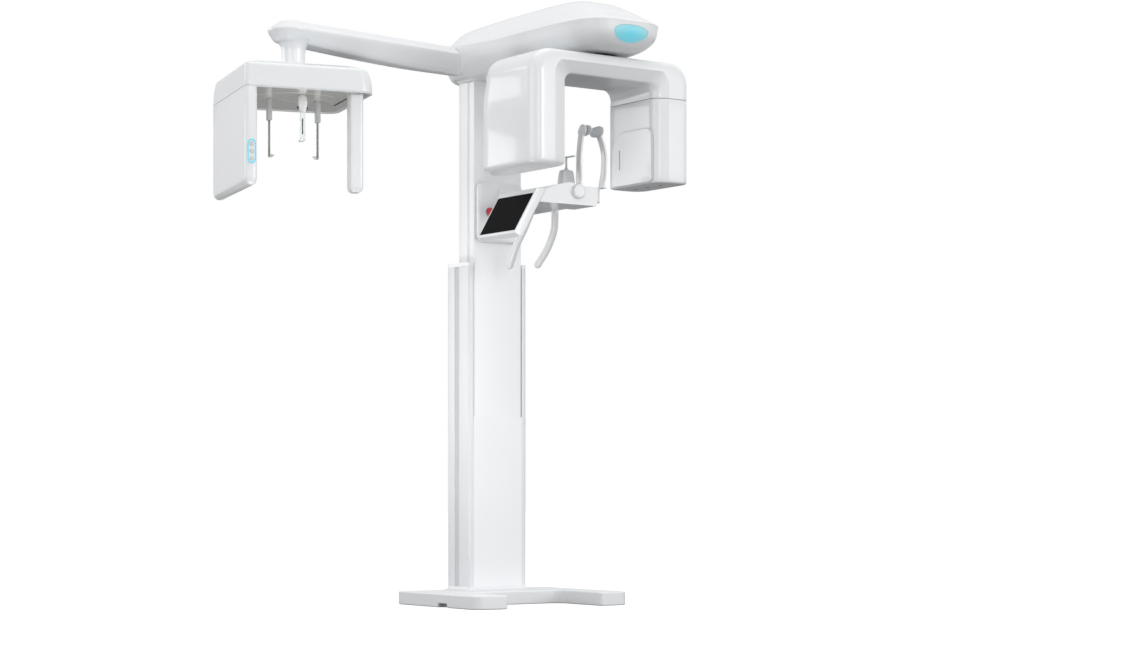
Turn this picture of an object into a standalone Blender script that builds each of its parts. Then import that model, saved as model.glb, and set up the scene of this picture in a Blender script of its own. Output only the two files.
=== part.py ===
"""Panoramic and cephalometric dental x-ray unit, modelled as an assembly of separate pieces.

Metres, +Z up. The origin lies on the floor under the column's axis, -Y is the patient's side
and the cephalometric arm reaches out to -X. Run with: blender --background --python part.py
"""

import math

import bmesh
import bpy
from mathutils import Matrix, Vector

# ---------------------------------------------------------------- driving dimensions
GAP = 0.0003                    # running gap between neighbours
SLIDE_GAP = 0.001               # clearance of pieces that slide in each other
ARM_FIT = 0.0008                # clearance of the ceph arm's end around the head

BASE_TOP = 0.054
BASE_HALF_WIDTH = 0.366
BASE_REAR_Y = 0.103
BASE_TOE_Y = -0.487
BASE_TOE_WIDTH = 0.138
BASE_THROAT_Y = -0.205
CABLE_NOTCH_Y = -0.247
CABLE_NOTCH_LENGTH = 0.066
CABLE_NOTCH_HEIGHT = 0.015

COLUMN_WIDTH = 0.281
COLUMN_FRONT_Y = -0.0905
COLUMN_REAR_Y = 0.082
COLUMN_WALL = 0.010
COLUMN_CORNER = 0.020
COLUMN_FRONT_CORNER = 0.0105
COLUMN_TOP = 1.372
CAP_HEIGHT = 0.017
SEAM_Z = 0.763                  # top edge of the fixed front cover
FRONT_OPENING = 0.237           # width between the column's two front lips
FRONT_COVER_THICKNESS = 0.0026
PLINTH_HEIGHT = 0.018
PLINTH_FLARE = 0.019
GROOVE_Y = 0.0025
GROOVE_WIDTH = 0.033
GROOVE_DEPTH = 0.004
TRIM_THICKNESS = 0.002

MAST_WIDTH = 0.231
MAST_REAR_Y = 0.031
MAST_WALL = 0.006
MAST_CORNER = 0.012
MAST_BOTTOM = 0.735
MAST_TOP = 2.165
MAST_GROOVE_DEPTH = 0.006
MAST_GROOVE_Y = -0.060
MAST_GROOVE_WIDTH = 0.044

ACTUATOR_RADIUS = 0.028
ACTUATOR_TOP = 0.700
ACTUATOR_Y = -0.028
ROD_RADIUS = 0.016
RAIL_WIDTH = 0.030
RAIL_DEPTH = 0.016

AXIS_Y = -0.740                 # rotation axis of the C-arm
HUB_RADIUS = 0.080
HUB_BORE = 0.032
RING_WIDTH = 0.0177             # radial width of the bearing's fixed ring
PULLEY_RADIUS = 0.098
PULLEY_THICKNESS = 0.015
PINION_RADIUS = 0.020
FRAME_THICKNESS = 0.018

HEAD_RIM_Z = 2.236
HEAD_FLOOR_Z = 2.136
HEAD_CREST_Z = 2.362
HEAD_FRONT_Y = -1.000
HEAD_REAR_Y = 0.190
HEAD_HALF_WIDTH = 0.206
HEAD_REAR_HALF = 0.172          # half width of the rim over the column
HEAD_LIFT = 0.036               # rise of the rim to the rear
HEAD_SQUARE_FRONT = 0.42        # squareness of the outline: 1 is an ellipse, 0 a rectangle
HEAD_SQUARE_REAR = 0.60
HEAD_WALL = 0.006
LENS_X = 0.030
LENS_Z = 2.199
LENS_WIDTH = 0.157
LENS_HEIGHT = 0.068
LENS_TILT = math.radians(26)
LENS_GAP = 0.0008

ARCH_TOP = 2.124
ARCH_FRONT_Y = -0.883
ARCH_HALF_WIDTH = 0.372
ARCH_OPENING_HALF = 0.210
ARCH_OPENING_TOP = 2.040
ARCH_SHOULDER = 0.085
BEAM_REAR_Y = -0.590
TUBE_REAR_Y = -0.412
TUBE_BOTTOM = 1.687
DETECTOR_REAR_Y = -0.560
DETECTOR_BOTTOM = 1.657
DETECTOR_SEAM_Z = 1.984
COVER_Y = (-0.851, -0.600)
COVER_TOP = 1.871
COVER_THICKNESS = 0.008
SLIT_Y = -0.650
ARCH_WALL = 0.006

ARM_BOTTOM = 1.578
ARM_TOP = 1.634
ARM_LEFT_X = -0.020
ARM_RIGHT_X = 0.088
FASCIA_Y = -0.760
FASCIA_BOTTOM = 1.560
WING_END_X = 0.015
PAD_Z = (1.471, 1.717)
PAD_WIDTH = 0.216
PAD_FRONT_Y = -0.112
ESTOP_X = -0.057
ESTOP_Z = 1.593
ESTOP_STEM = 0.0115

SCREEN_TILT = math.radians(30.5)
SCREEN_Y = (-0.760, -0.505)
SCREEN_TOP = (-0.2690, 1.6125)  # x and z of the top edge of the screen's face
SCREEN_THICKNESS = 0.037
SCREEN_LENGTH = 0.204
GLASS_LENGTH = 0.170
GLASS_WIDTH = 0.241
GLASS_MARGIN = 0.0225
GLASS_THICKNESS = 0.0016

HANDLE_RADIUS = 0.0142
KNOB_X = -0.078
KNOB_Z = 1.611
CHIN_Y = -0.572
CHIN_STEM_RADIUS = 0.011
STEM_GAP = 0.0006
TEMPLE_Y = -0.724
TEMPLE_REACH = 0.047            # half distance between the two temple arms at their feet

CEPH_AXIS = (-0.9637, -0.1183)
CEPH_TURN = math.radians(-14.35)
CEPH_LEFT = -0.254
CEPH_RIGHT = 0.235
CEPH_HALF_DEPTH = 0.278
CEPH_FLOOR_Z = 1.9635
CEPH_TOP_Z = 2.048
CEPH_WALL = 0.005
SENSOR_WIDTH = 0.047
SENSOR_BOTTOM = 1.597
CEPH_ARM_TURN = math.radians(7.0)
CEPH_TIP_HALF = 0.085           # half width of the ceph arm at its neck
CEPH_ROOT_HALF = 0.056          # and at the head
CEPH_CROWN_Z = 2.080
CEPH_ARM_BOTTOM = 2.150
CEPH_ARM_CREASE = 2.232
CEPH_ARM_TOP = 2.262
NECK_RADIUS = 0.044
EAR_REACH = 0.0955
EAR_SLEEVE_Z = 1.881
EAR_TIP_Z = 1.738
DISC_RADIUS = 0.172
NASION_V = -0.135
NASION_BODY_Z = 1.896
NASION_TIP_Z = 1.788
POST_U = 0.185
POST_V = -0.242
POST_WIDTH = 0.052
POST_DEPTH = 0.062
POST_BOTTOM = 1.590
POST_TRAVEL = 0.290             # along the slot in the underside
KEY_U = -0.2315
KEY_Z = (1.7480, 1.7205, 1.6930)
KEY_RADIUS = 0.0085

ROUND = 24                      # sides of small turned pieces
ROUND_WIDE = 40                 # sides of large turned pieces


# ---------------------------------------------------------------- scene and materials
for old in list(bpy.data.objects):
    bpy.data.objects.remove(old, do_unlink=True)

parts = bpy.data.collections.new("panoramic_xray_machine")
cutters = bpy.data.collections.new("cutters")
for group in (parts, cutters):
    bpy.context.scene.collection.children.link(group)


def material(name, colour, roughness, metallic=0.0):
    """One Principled material."""
    made = bpy.data.materials.new(name)
    made.use_nodes = True
    shader = made.node_tree.nodes["Principled BSDF"]
    shader.inputs["Base Color"].default_value = (*colour, 1.0)
    shader.inputs["Roughness"].default_value = roughness
    shader.inputs["Metallic"].default_value = metallic
    made.diffuse_color = (*colour, 1.0)
    return made


WHITE = material("white_gloss_shell", (0.87, 0.88, 0.88), 0.25)
PAINT = material("white_powder_coat", (0.84, 0.85, 0.86), 0.35)
TRIM = material("grey_trim", (0.43, 0.44, 0.45), 0.5)
GREY = material("light_grey_plastic", (0.62, 0.63, 0.63), 0.45)
CREAM = material("pale_underside_plastic", (0.72, 0.73, 0.69), 0.3)
BLACK = material("black_glass", (0.012, 0.012, 0.013), 0.08)
RUBBER = material("black_rubber", (0.02, 0.02, 0.02), 0.8)
CYAN = material("lit_cyan_lens", (0.10, 0.75, 0.87), 0.3)
RED = material("red_button", (0.72, 0.02, 0.03), 0.3)
STEEL = material("steel", (0.55, 0.56, 0.58), 0.35, 1.0)
CLEAR = material("clear_plastic", (0.80, 0.82, 0.82), 0.1)


# ---------------------------------------------------------------- modelling tools
def empty(name, location, turn=0.0):
    """An empty that carries pieces; turn is about Z."""
    holder = bpy.data.objects.new(name, None)
    holder.location = location
    holder.rotation_euler = (0.0, 0.0, turn)
    parts.objects.link(holder)
    bpy.context.view_layer.update()
    return holder


def add(name, mesh, finish, at=(0.0, 0.0, 0.0), parent=None, smooth=True, group=None):
    """Link a mesh as a named piece; its vertices are given about the point `at`."""
    piece = bpy.data.objects.new(name, mesh)
    piece.location = at
    (group or parts).objects.link(piece)
    if parent:
        piece.parent = parent
    if finish:
        mesh.materials.append(finish)
    if smooth:
        mesh.shade_smooth()
        mesh.set_sharp_from_angle(angle=math.radians(32))
    if group is cutters:
        piece.hide_render = True
        piece.display_type = "WIRE"
    bpy.context.view_layer.update()
    return piece


def mesh_from(build, name):
    """A mesh from a function that fills a bmesh; normals point out."""
    shape = bmesh.new()
    build(shape)
    bmesh.ops.recalc_face_normals(shape, faces=shape.faces)
    mesh = bpy.data.meshes.new(name)
    shape.to_mesh(mesh)
    shape.free()
    return mesh


def box(name, low, high, finish, bevel=0.0, segments=2, parent=None, group=None):
    """A box from its lowest and highest corners, with rounded edges, origin at its centre."""
    size = [h - l for l, h in zip(low, high)]
    centre = [(l + h) / 2 for l, h in zip(low, high)]

    def build(shape):
        bmesh.ops.create_cube(shape, size=1.0)
        bmesh.ops.scale(shape, vec=size, verts=shape.verts)

    piece = add(name, mesh_from(build, name), finish, centre, parent, group=group)
    if bevel:
        soften(piece, min(bevel, 0.45 * min(size)), segments)
    return piece


def soften(piece, width, segments=2, angle=40):
    """Rounded edges with a Bevel modifier."""
    rounding = piece.modifiers.new("rounding", "BEVEL")
    rounding.width = width
    rounding.segments = segments
    rounding.limit_method = "ANGLE"
    rounding.angle_limit = math.radians(angle)
    return rounding


def cut(piece, tool, operation="DIFFERENCE", solver="EXACT"):
    """A Boolean on the piece."""
    change = piece.modifiers.new(operation.lower(), "BOOLEAN")
    change.operation = operation
    change.solver = solver
    change.object = tool
    return change


def bake(piece):
    """Turn a piece's modifiers into its mesh, so that another piece can be joined to it."""
    bpy.context.view_layer.update()
    graph = bpy.context.evaluated_depsgraph_get()
    mesh = bpy.data.meshes.new_from_object(piece.evaluated_get(graph))
    piece.modifiers.clear()
    old = piece.data
    piece.data = mesh
    bpy.data.meshes.remove(old)
    return piece


def drop(*tools):
    """Remove helper objects once their shape is baked in."""
    for tool in tools:
        bpy.data.objects.remove(tool, do_unlink=True)


def fillet(points, radii, steps=4):
    """Round the corners of an outline: each corner becomes an arc of its own radius."""
    rounded = []
    count = len(points)
    for i, corner in enumerate(points):
        radius = radii[i] if isinstance(radii, (list, tuple)) else radii
        here = Vector(corner)
        before = Vector(points[i - 1])
        after = Vector(points[(i + 1) % count])
        if radius <= 0:
            rounded.append(tuple(here))
            continue
        to_before = (before - here).normalized()
        to_after = (after - here).normalized()
        opening = to_before.angle(to_after)
        run = radius / math.tan(opening / 2)
        run = min(run, 0.49 * (before - here).length, 0.49 * (after - here).length)
        reach = run * math.tan(opening / 2)
        centre = here + (to_before + to_after).normalized() * (reach / math.sin(opening / 2))
        start = here + to_before * run - centre
        sweep = math.pi - opening
        turn = 1 if (start.x * (here - centre).y - start.y * (here - centre).x) > 0 else -1
        for k in range(steps + 1):
            angle = turn * sweep * k / steps
            rounded.append((centre.x + start.x * math.cos(angle) - start.y * math.sin(angle),
                            centre.y + start.x * math.sin(angle) + start.y * math.cos(angle)))
    return rounded


def prism(name, outline, low, high, finish, plane="XY", parent=None, group=None, bevel=0.0,
          segments=2):
    """A flat outline given thickness from `low` to `high`, as a filled 2D curve made a mesh.

    plane XY rises along Z, XZ runs along Y and YZ runs along X.
    """
    flat = bpy.data.curves.new(name, "CURVE")
    flat.dimensions = "2D"
    flat.fill_mode = "BOTH"
    flat.extrude = (high - low) / 2
    line = flat.splines.new("POLY")
    line.points.add(len(outline) - 1)
    for point, (x, y) in zip(line.points, outline):
        point.co = (x, y, 0.0, 1.0)
    line.use_cyclic_u = True
    holder = bpy.data.objects.new(name, flat)
    parts.objects.link(holder)
    bpy.context.view_layer.update()
    graph = bpy.context.evaluated_depsgraph_get()
    mesh = bpy.data.meshes.new_from_object(holder.evaluated_get(graph))
    bpy.data.objects.remove(holder, do_unlink=True)
    bpy.data.curves.remove(flat)
    middle = (low + high) / 2
    axes = {"XY": Matrix.Identity(4),
            "XZ": Matrix.Rotation(math.pi / 2, 4, "X"),
            "YZ": Matrix(((0, 0, 1, 0), (1, 0, 0, 0), (0, 1, 0, 0), (0, 0, 0, 1)))}
    shape = bmesh.new()
    shape.from_mesh(mesh)
    bmesh.ops.remove_doubles(shape, verts=shape.verts, dist=1e-5)
    bmesh.ops.dissolve_limit(shape, angle_limit=math.radians(0.5), verts=shape.verts,
                             edges=shape.edges)
    bmesh.ops.transform(shape, matrix=axes[plane], verts=shape.verts)
    along = {"XY": (0, 0, middle), "XZ": (0, middle, 0), "YZ": (middle, 0, 0)}[plane]
    bmesh.ops.translate(shape, vec=along, verts=shape.verts)
    bmesh.ops.recalc_face_normals(shape, faces=shape.faces)
    shape.to_mesh(mesh)
    shape.free()
    mesh.name = name
    mesh.materials.clear()
    piece = add(name, mesh, finish, parent=parent, group=group)
    if bevel:
        soften(piece, bevel, segments)
    return piece


def turned(name, profile, finish, at, sides=ROUND, parent=None, lie=None, group=None):
    """A turned piece: (radius, height) pairs from the top down, spun by a Screw modifier.

    A profile that stays clear of the axis is a closed loop. lie turns the axis from Z towards a
    direction, such as (0, -1, 0).
    """
    mesh = bpy.data.meshes.new(name)
    shape = bmesh.new()
    ring = [shape.verts.new((radius, 0.0, height)) for radius, height in profile]
    for a, b in zip(ring, ring[1:]):
        shape.edges.new((a, b))
    if profile[0][0] > 0:
        shape.edges.new((ring[-1], ring[0]))
    shape.to_mesh(mesh)
    shape.free()
    piece = add(name, mesh, finish, at, parent, smooth=False, group=group)
    if lie:
        piece.rotation_euler = Vector((0, 0, 1)).rotation_difference(Vector(lie)).to_euler()
    spin = piece.modifiers.new("turning", "SCREW")
    spin.axis = "Z"
    spin.steps = sides
    spin.render_steps = sides
    spin.use_merge_vertices = True
    spin.merge_threshold = 1e-5
    spin.use_smooth_shade = True
    bpy.context.view_layer.update()
    return piece


def tube(name, points, radius, finish, parent=None, resolution=3):
    """A round bar along a smooth line, with filled ends, welded into one mesh."""
    path = bpy.data.curves.new(name, "CURVE")
    path.dimensions = "3D"
    path.bevel_depth = radius
    path.bevel_resolution = resolution
    path.use_fill_caps = True
    line = path.splines.new("POLY")
    line.points.add(len(points) - 1)
    for point, place in zip(line.points, points):
        point.co = (*place, 1.0)
    holder = bpy.data.objects.new(name, path)
    parts.objects.link(holder)
    bpy.context.view_layer.update()
    graph = bpy.context.evaluated_depsgraph_get()
    mesh = bpy.data.meshes.new_from_object(holder.evaluated_get(graph))
    bpy.data.objects.remove(holder, do_unlink=True)
    bpy.data.curves.remove(path)
    shape = bmesh.new()
    shape.from_mesh(mesh)
    bmesh.ops.remove_doubles(shape, verts=shape.verts, dist=1e-5)
    bmesh.ops.recalc_face_normals(shape, faces=shape.faces)
    shape.to_mesh(mesh)
    shape.free()
    mesh.materials.clear()
    mesh.name = name
    return add(name, mesh, finish, parent=parent)


def bend(points, count):
    """Points evenly along a smooth line through the given ones (Catmull-Rom)."""
    knots = [Vector(p) for p in points]
    knots = [2 * knots[0] - knots[1]] + knots + [2 * knots[-1] - knots[-2]]
    spans = len(knots) - 3
    out = []
    for i in range(count):
        t = i / (count - 1) * spans
        k = min(int(t), spans - 1)
        t -= k
        a, b, c, d = knots[k:k + 4]
        out.append(tuple(0.5 * (2 * b + (c - a) * t + (2 * a - 5 * b + 4 * c - d) * t ** 2
                                + (3 * b - a - 3 * c + d) * t ** 3)))
    return out


def loft(name, rings, finish, parent=None, group=None, ladder=False):
    """A skin over rings with equal point counts, closed at both ends.

    A ladder end is a row of flat strips between left and right points, for rings that rise
    to the rear; it needs rings that start on the +X side and are even in x.
    """
    def build(shape):
        loops = [[shape.verts.new(point) for point in ring] for ring in rings]
        count = len(loops[0])
        for lower, upper in zip(loops, loops[1:]):
            for i in range(count):
                j = (i + 1) % count
                shape.faces.new((lower[i], lower[j], upper[j], upper[i]))
        for loop in (loops[0], loops[-1]):
            if not ladder:
                shape.faces.new(loop)
                continue
            for i in range(-count // 4, count // 4):
                near = (loop[i], loop[i + 1])
                far = (loop[count // 2 - i - 1], loop[(count // 2 - i) % count])
                corners = list(dict.fromkeys(near + far))
                shape.faces.new(corners)

    return add(name, mesh_from(build, name), finish, parent=parent, group=group)


def strip(path, widths, depth_axis, thickness):
    """Rings of a flat bar's section along a path, for a curved arm.

    depth_axis is the direction of the bar's width; its thickness is across that and the path.
    """
    rings = []
    wide = Vector(depth_axis).normalized()
    for i, place in enumerate(path):
        ahead = Vector(path[min(i + 1, len(path) - 1)]) - Vector(path[max(i - 1, 0)])
        thin = ahead.cross(wide).normalized()
        half = widths[i] / 2
        chamfer = thickness * 0.3
        here = Vector(place)
        corners = [(half - chamfer, thickness / 2), (half, thickness / 2 - chamfer),
                   (half, -thickness / 2 + chamfer), (half - chamfer, -thickness / 2),
                   (-half + chamfer, -thickness / 2), (-half, -thickness / 2 + chamfer),
                   (-half, thickness / 2 - chamfer), (-half + chamfer, thickness / 2)]
        rings.append([tuple(here + wide * a + thin * b) for a, b in corners])
    return rings


# ---------------------------------------------------------------- base and lower column
def column_section(grow):
    """The lower column's outer outline, grown all round."""
    half = COLUMN_WIDTH / 2 + grow
    front = COLUMN_FRONT_Y - grow
    rear = COLUMN_REAR_Y + grow
    corners = [(half, front), (half, rear), (-half, rear), (-half, front)]
    front_radius = COLUMN_FRONT_CORNER + grow
    rear_radius = COLUMN_CORNER + grow
    return fillet(corners, [front_radius, rear_radius, rear_radius, front_radius], 4)


def build_base():
    """Cast base plate with two forward toes."""
    inner = BASE_HALF_WIDTH - BASE_TOE_WIDTH
    half = [(inner, BASE_THROAT_Y), (inner - 0.006, BASE_TOE_Y - 0.016),
            (BASE_HALF_WIDTH + 0.006, BASE_TOE_Y), (BASE_HALF_WIDTH, BASE_REAR_Y)]
    corners = half + [(-x, y) for x, y in reversed(half)]
    radii = [0.05, 0.016, 0.045, 0.022]
    outline = fillet(corners, radii + radii[::-1], 5)
    base = prism("base_plate", outline, 0.0, BASE_TOP, PAINT)
    notch = box("cable_notch_cutter",
                (-BASE_HALF_WIDTH - 0.05, CABLE_NOTCH_Y - CABLE_NOTCH_LENGTH / 2, -0.01),
                (-BASE_HALF_WIDTH + 0.030, CABLE_NOTCH_Y + CABLE_NOTCH_LENGTH / 2,
                 CABLE_NOTCH_HEIGHT), None, group=cutters)
    cut(base, notch)
    bake(base)
    soften(base, 0.003, 2, 60)


def build_lower_column():
    """Open-fronted column, its covers, trims, cap and plinth."""
    foot = BASE_TOP + GAP
    half = COLUMN_WIDTH / 2
    lip = FRONT_OPENING / 2
    inner = half - COLUMN_WALL
    right = [(lip, COLUMN_FRONT_Y), (half, COLUMN_FRONT_Y),
             (half, GROOVE_Y - GROOVE_WIDTH / 2), (half - GROOVE_DEPTH, GROOVE_Y - GROOVE_WIDTH / 2),
             (half - GROOVE_DEPTH, GROOVE_Y + GROOVE_WIDTH / 2), (half, GROOVE_Y + GROOVE_WIDTH / 2),
             (half, COLUMN_REAR_Y)]
    inside = [(inner, COLUMN_REAR_Y - COLUMN_WALL), (inner, COLUMN_FRONT_Y + 0.006),
              (lip, COLUMN_FRONT_Y + 0.006)]
    corners = right + [(-x, y) for x, y in reversed(right)]
    corners += [(-x, y) for x, y in reversed(inside)] + inside
    radii = [0, COLUMN_FRONT_CORNER, 0, 0, 0, 0, COLUMN_CORNER]
    radii = radii + radii[::-1] + [0] * 6
    outline = fillet(corners, radii, 4)
    prism("lower_column", outline, foot, COLUMN_TOP, PAINT)
    cap_corners = [(lip, COLUMN_FRONT_Y), (half, COLUMN_FRONT_Y), (half, COLUMN_REAR_Y),
                   (-half, COLUMN_REAR_Y), (-half, COLUMN_FRONT_Y), (-lip, COLUMN_FRONT_Y),
                   (-lip, COLUMN_FRONT_Y + 0.006), (-inner, COLUMN_FRONT_Y + 0.006),
                   (-inner, COLUMN_REAR_Y - COLUMN_WALL), (inner, COLUMN_REAR_Y - COLUMN_WALL),
                   (inner, COLUMN_FRONT_Y + 0.006), (lip, COLUMN_FRONT_Y + 0.006)]
    cap_radii = [0, COLUMN_FRONT_CORNER, COLUMN_CORNER, COLUMN_CORNER, COLUMN_FRONT_CORNER]
    cap_radii += [0] * 7
    prism("lower_column_cap", fillet(cap_corners, cap_radii, 4), COLUMN_TOP + GAP,
          COLUMN_TOP + CAP_HEIGHT, WHITE, bevel=0.0015, segments=1)
    cover_half = lip - GAP
    box("lower_front_cover", (-cover_half, COLUMN_FRONT_Y, foot),
        (cover_half, COLUMN_FRONT_Y + FRONT_COVER_THICKNESS, SEAM_Z), PAINT)
    for side, sign in (("left", -1), ("right", 1)):
        outer = half - GROOVE_DEPTH + GAP + TRIM_THICKNESS
        low_x, high_x = sorted((sign * (half - GROOVE_DEPTH + GAP), sign * outer))
        box("side_trim_" + side, (low_x, GROOVE_Y - GROOVE_WIDTH / 2 + GAP, foot + PLINTH_HEIGHT),
            (high_x, GROOVE_Y + GROOVE_WIDTH / 2 - GAP, COLUMN_TOP), TRIM)
    skirt = []
    for grow, z in ((PLINTH_FLARE, foot), (PLINTH_FLARE, foot + 0.005), (0.004, foot + PLINTH_HEIGHT)):
        skirt.append([(x, y, z) for x, y in column_section(grow)])
    plinth = loft("column_plinth", skirt, WHITE)
    hole = prism("plinth_cutter", column_section(GAP), 0.0, 0.2, None, group=cutters)
    cut(plinth, hole)


def build_lift_drive():
    """Telescopic actuator, its rod, the guide rail and the power unit inside the column."""
    foot = BASE_TOP + GAP
    rear_wall = COLUMN_REAR_Y - COLUMN_WALL
    bore = ROD_RADIUS + SLIDE_GAP
    turned("lift_actuator", [(0, foot + 0.012), (bore, foot + 0.012), (bore, ACTUATOR_TOP),
                             (ACTUATOR_RADIUS, ACTUATOR_TOP), (ACTUATOR_RADIUS, foot), (0, foot)],
           STEEL, (0, ACTUATOR_Y, 0))
    box("guide_rail", (-RAIL_WIDTH / 2, rear_wall - GAP - RAIL_DEPTH, foot),
        (RAIL_WIDTH / 2, rear_wall - GAP, COLUMN_TOP - 0.02), STEEL)
    box("power_unit", (-0.098, -0.075, foot), (-0.046, 0.018, foot + 0.16), TRIM, 0.004)


# ---------------------------------------------------------------- lifting mast
def build_mast():
    """Moving upper column with its head plate, guide shoe and actuator rod."""
    half = MAST_WIDTH / 2
    front = COLUMN_FRONT_Y + FRONT_COVER_THICKNESS + GAP
    groove_front = MAST_GROOVE_Y - MAST_GROOVE_WIDTH / 2
    groove_rear = MAST_GROOVE_Y + MAST_GROOVE_WIDTH / 2
    right = [(half + 0.0015, front), (half + 0.0015, groove_front),
             (half - MAST_GROOVE_DEPTH, groove_front), (half - MAST_GROOVE_DEPTH, groove_rear),
             (half, groove_rear), (half, MAST_REAR_Y)]
    radii = [0.0025, 0, 0, 0, 0, MAST_CORNER]
    corners = right + [(-x, y) for x, y in reversed(right)]
    outline = fillet(corners, radii + radii[::-1], 3)
    mast = prism("upper_column", outline, MAST_BOTTOM, MAST_TOP, PAINT)
    bore_half = half - MAST_GROOVE_DEPTH - MAST_WALL
    bore = box("mast_bore_cutter", (-bore_half, front + MAST_WALL, MAST_BOTTOM - 0.1),
               (bore_half, MAST_REAR_Y - MAST_WALL, MAST_TOP + 0.1), None, group=cutters)
    cut(mast, bore, solver="MANIFOLD")
    rail_front = COLUMN_REAR_Y - COLUMN_WALL - GAP - RAIL_DEPTH
    shoe = box("guide_shoe", (-0.040, MAST_REAR_Y + GAP, MAST_BOTTOM + 0.02),
               (0.040, COLUMN_REAR_Y - COLUMN_WALL - 0.003, MAST_BOTTOM + 0.22), STEEL)
    slot = box("shoe_cutter", (-RAIL_WIDTH / 2 - SLIDE_GAP, rail_front - SLIDE_GAP, MAST_BOTTOM - 0.1),
               (RAIL_WIDTH / 2 + SLIDE_GAP, 0.2, MAST_BOTTOM + 0.4), None, group=cutters)
    cut(shoe, slot)
    rod_foot = ACTUATOR_TOP - 0.025
    turned("lift_rod", [(0, 1.30), (ROD_RADIUS, 1.30), (ROD_RADIUS, rod_foot), (0, rod_foot)],
           STEEL, (0, ACTUATOR_Y, 0))
    bracket_half = bore_half - GAP
    bracket = box("rod_bracket", (-bracket_half, front + MAST_WALL + GAP, 1.30 + GAP),
                  (bracket_half, MAST_REAR_Y - MAST_WALL - GAP, 1.32), STEEL)
    return bracket


def build_carriage():
    """Carriage pad on the mast with the emergency stop."""
    front = COLUMN_FRONT_Y + FRONT_COVER_THICKNESS + GAP
    half = PAD_WIDTH / 2
    low, high = PAD_Z
    outline = fillet([(half, low), (half, high), (-half, high), (-half, low)], 0.028, 5)
    pad = prism("carriage_pad", outline, PAD_FRONT_Y, front - GAP, WHITE, plane="XZ", bevel=0.007,
                segments=2)
    at = (ESTOP_X, PAD_FRONT_Y, ESTOP_Z)
    bore = ESTOP_STEM + GAP
    well = turned("estop_well_cutter", [(0, 0.05), (bore, 0.05), (bore, -0.05), (0, -0.05)], None, at,
                  lie=(0, -1, 0), group=cutters)
    cut(pad, well)
    turned("estop_button", [(0, 0.021), (0.013, 0.019), (0.0165, 0.014), (0.0165, 0.0050),
                            (ESTOP_STEM, 0.0045), (ESTOP_STEM, -0.012), (0, -0.012)],
           RED, at, lie=(0, -1, 0))


# ---------------------------------------------------------------- chin arm
def build_chin_arm():
    """Arm from the carriage pad to the front wing, with everything it carries."""
    root_y = PAD_FRONT_Y - GAP
    front_y = FASCIA_Y + 0.001
    plan = [(ARM_RIGHT_X, root_y), (ARM_LEFT_X, root_y), (ARM_LEFT_X, -0.280), (-0.120, -0.370),
            (-0.150, -0.520), (-0.150, front_y), (0.080, front_y), (ARM_RIGHT_X, -0.480)]
    arm = prism("chin_arm", fillet(plan, [0, 0, 0.03, 0.03, 0.05, 0, 0.062, 0.05], 5),
                ARM_BOTTOM, ARM_TOP, WHITE)
    seat_x, seat_z = screen_seat()
    drop_x = (seat_z - FASCIA_BOTTOM) * math.tan(SCREEN_TILT)
    front = [(WING_END_X, FASCIA_BOTTOM), (WING_END_X, ARM_TOP - 0.004), (-0.075, ARM_TOP - 0.004),
             (-0.078, ARM_TOP), (-0.110, 1.646), (-0.165, 1.634), (seat_x, seat_z),
             (seat_x - drop_x, FASCIA_BOTTOM)]
    wing = prism("wing", fillet(front, [0.008, 0, 0, 0, 0.05, 0.05, 0, 0], 3),
                 FASCIA_Y, FASCIA_Y + 0.145, None, plane="XZ")
    gusset = prism("gusset", [(root_y, ARM_BOTTOM + 0.012), (-0.26, ARM_BOTTOM + 0.012),
                              (-0.30, ARM_TOP),
                              (root_y - 0.05, 1.648), (root_y, 1.692)],
                   ARM_LEFT_X + 0.008, ARM_RIGHT_X - 0.004, None, plane="YZ")
    cut(arm, wing, "UNION")
    cut(arm, gusset, "UNION")
    bake(arm)
    drop(wing, gusset)
    soften(arm, 0.003, 1, 50)
    stem_hole = CHIN_STEM_RADIUS + STEM_GAP
    well = turned("chin_stem_cutter", [(0, 1.8), (stem_hole, 1.8), (stem_hole, 1.4), (0, 1.4)], None,
                  (0, CHIN_Y, 0), group=cutters)
    cut(arm, well)
    turned("temple_knob", [(0, 0.016), (0.020, 0.016), (0.0265, 0.011), (0.0290, 0.0), (0, 0.0)],
           GREY, (KNOB_X, FASCIA_Y - GAP, KNOB_Z), lie=(0, -1, 0))


def screen_seat():
    """Where the screen housing's back plane meets the level of its top edge."""
    top_x, top_z = SCREEN_TOP
    return top_x + (SCREEN_THICKNESS + GAP) / math.cos(SCREEN_TILT), top_z


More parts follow.
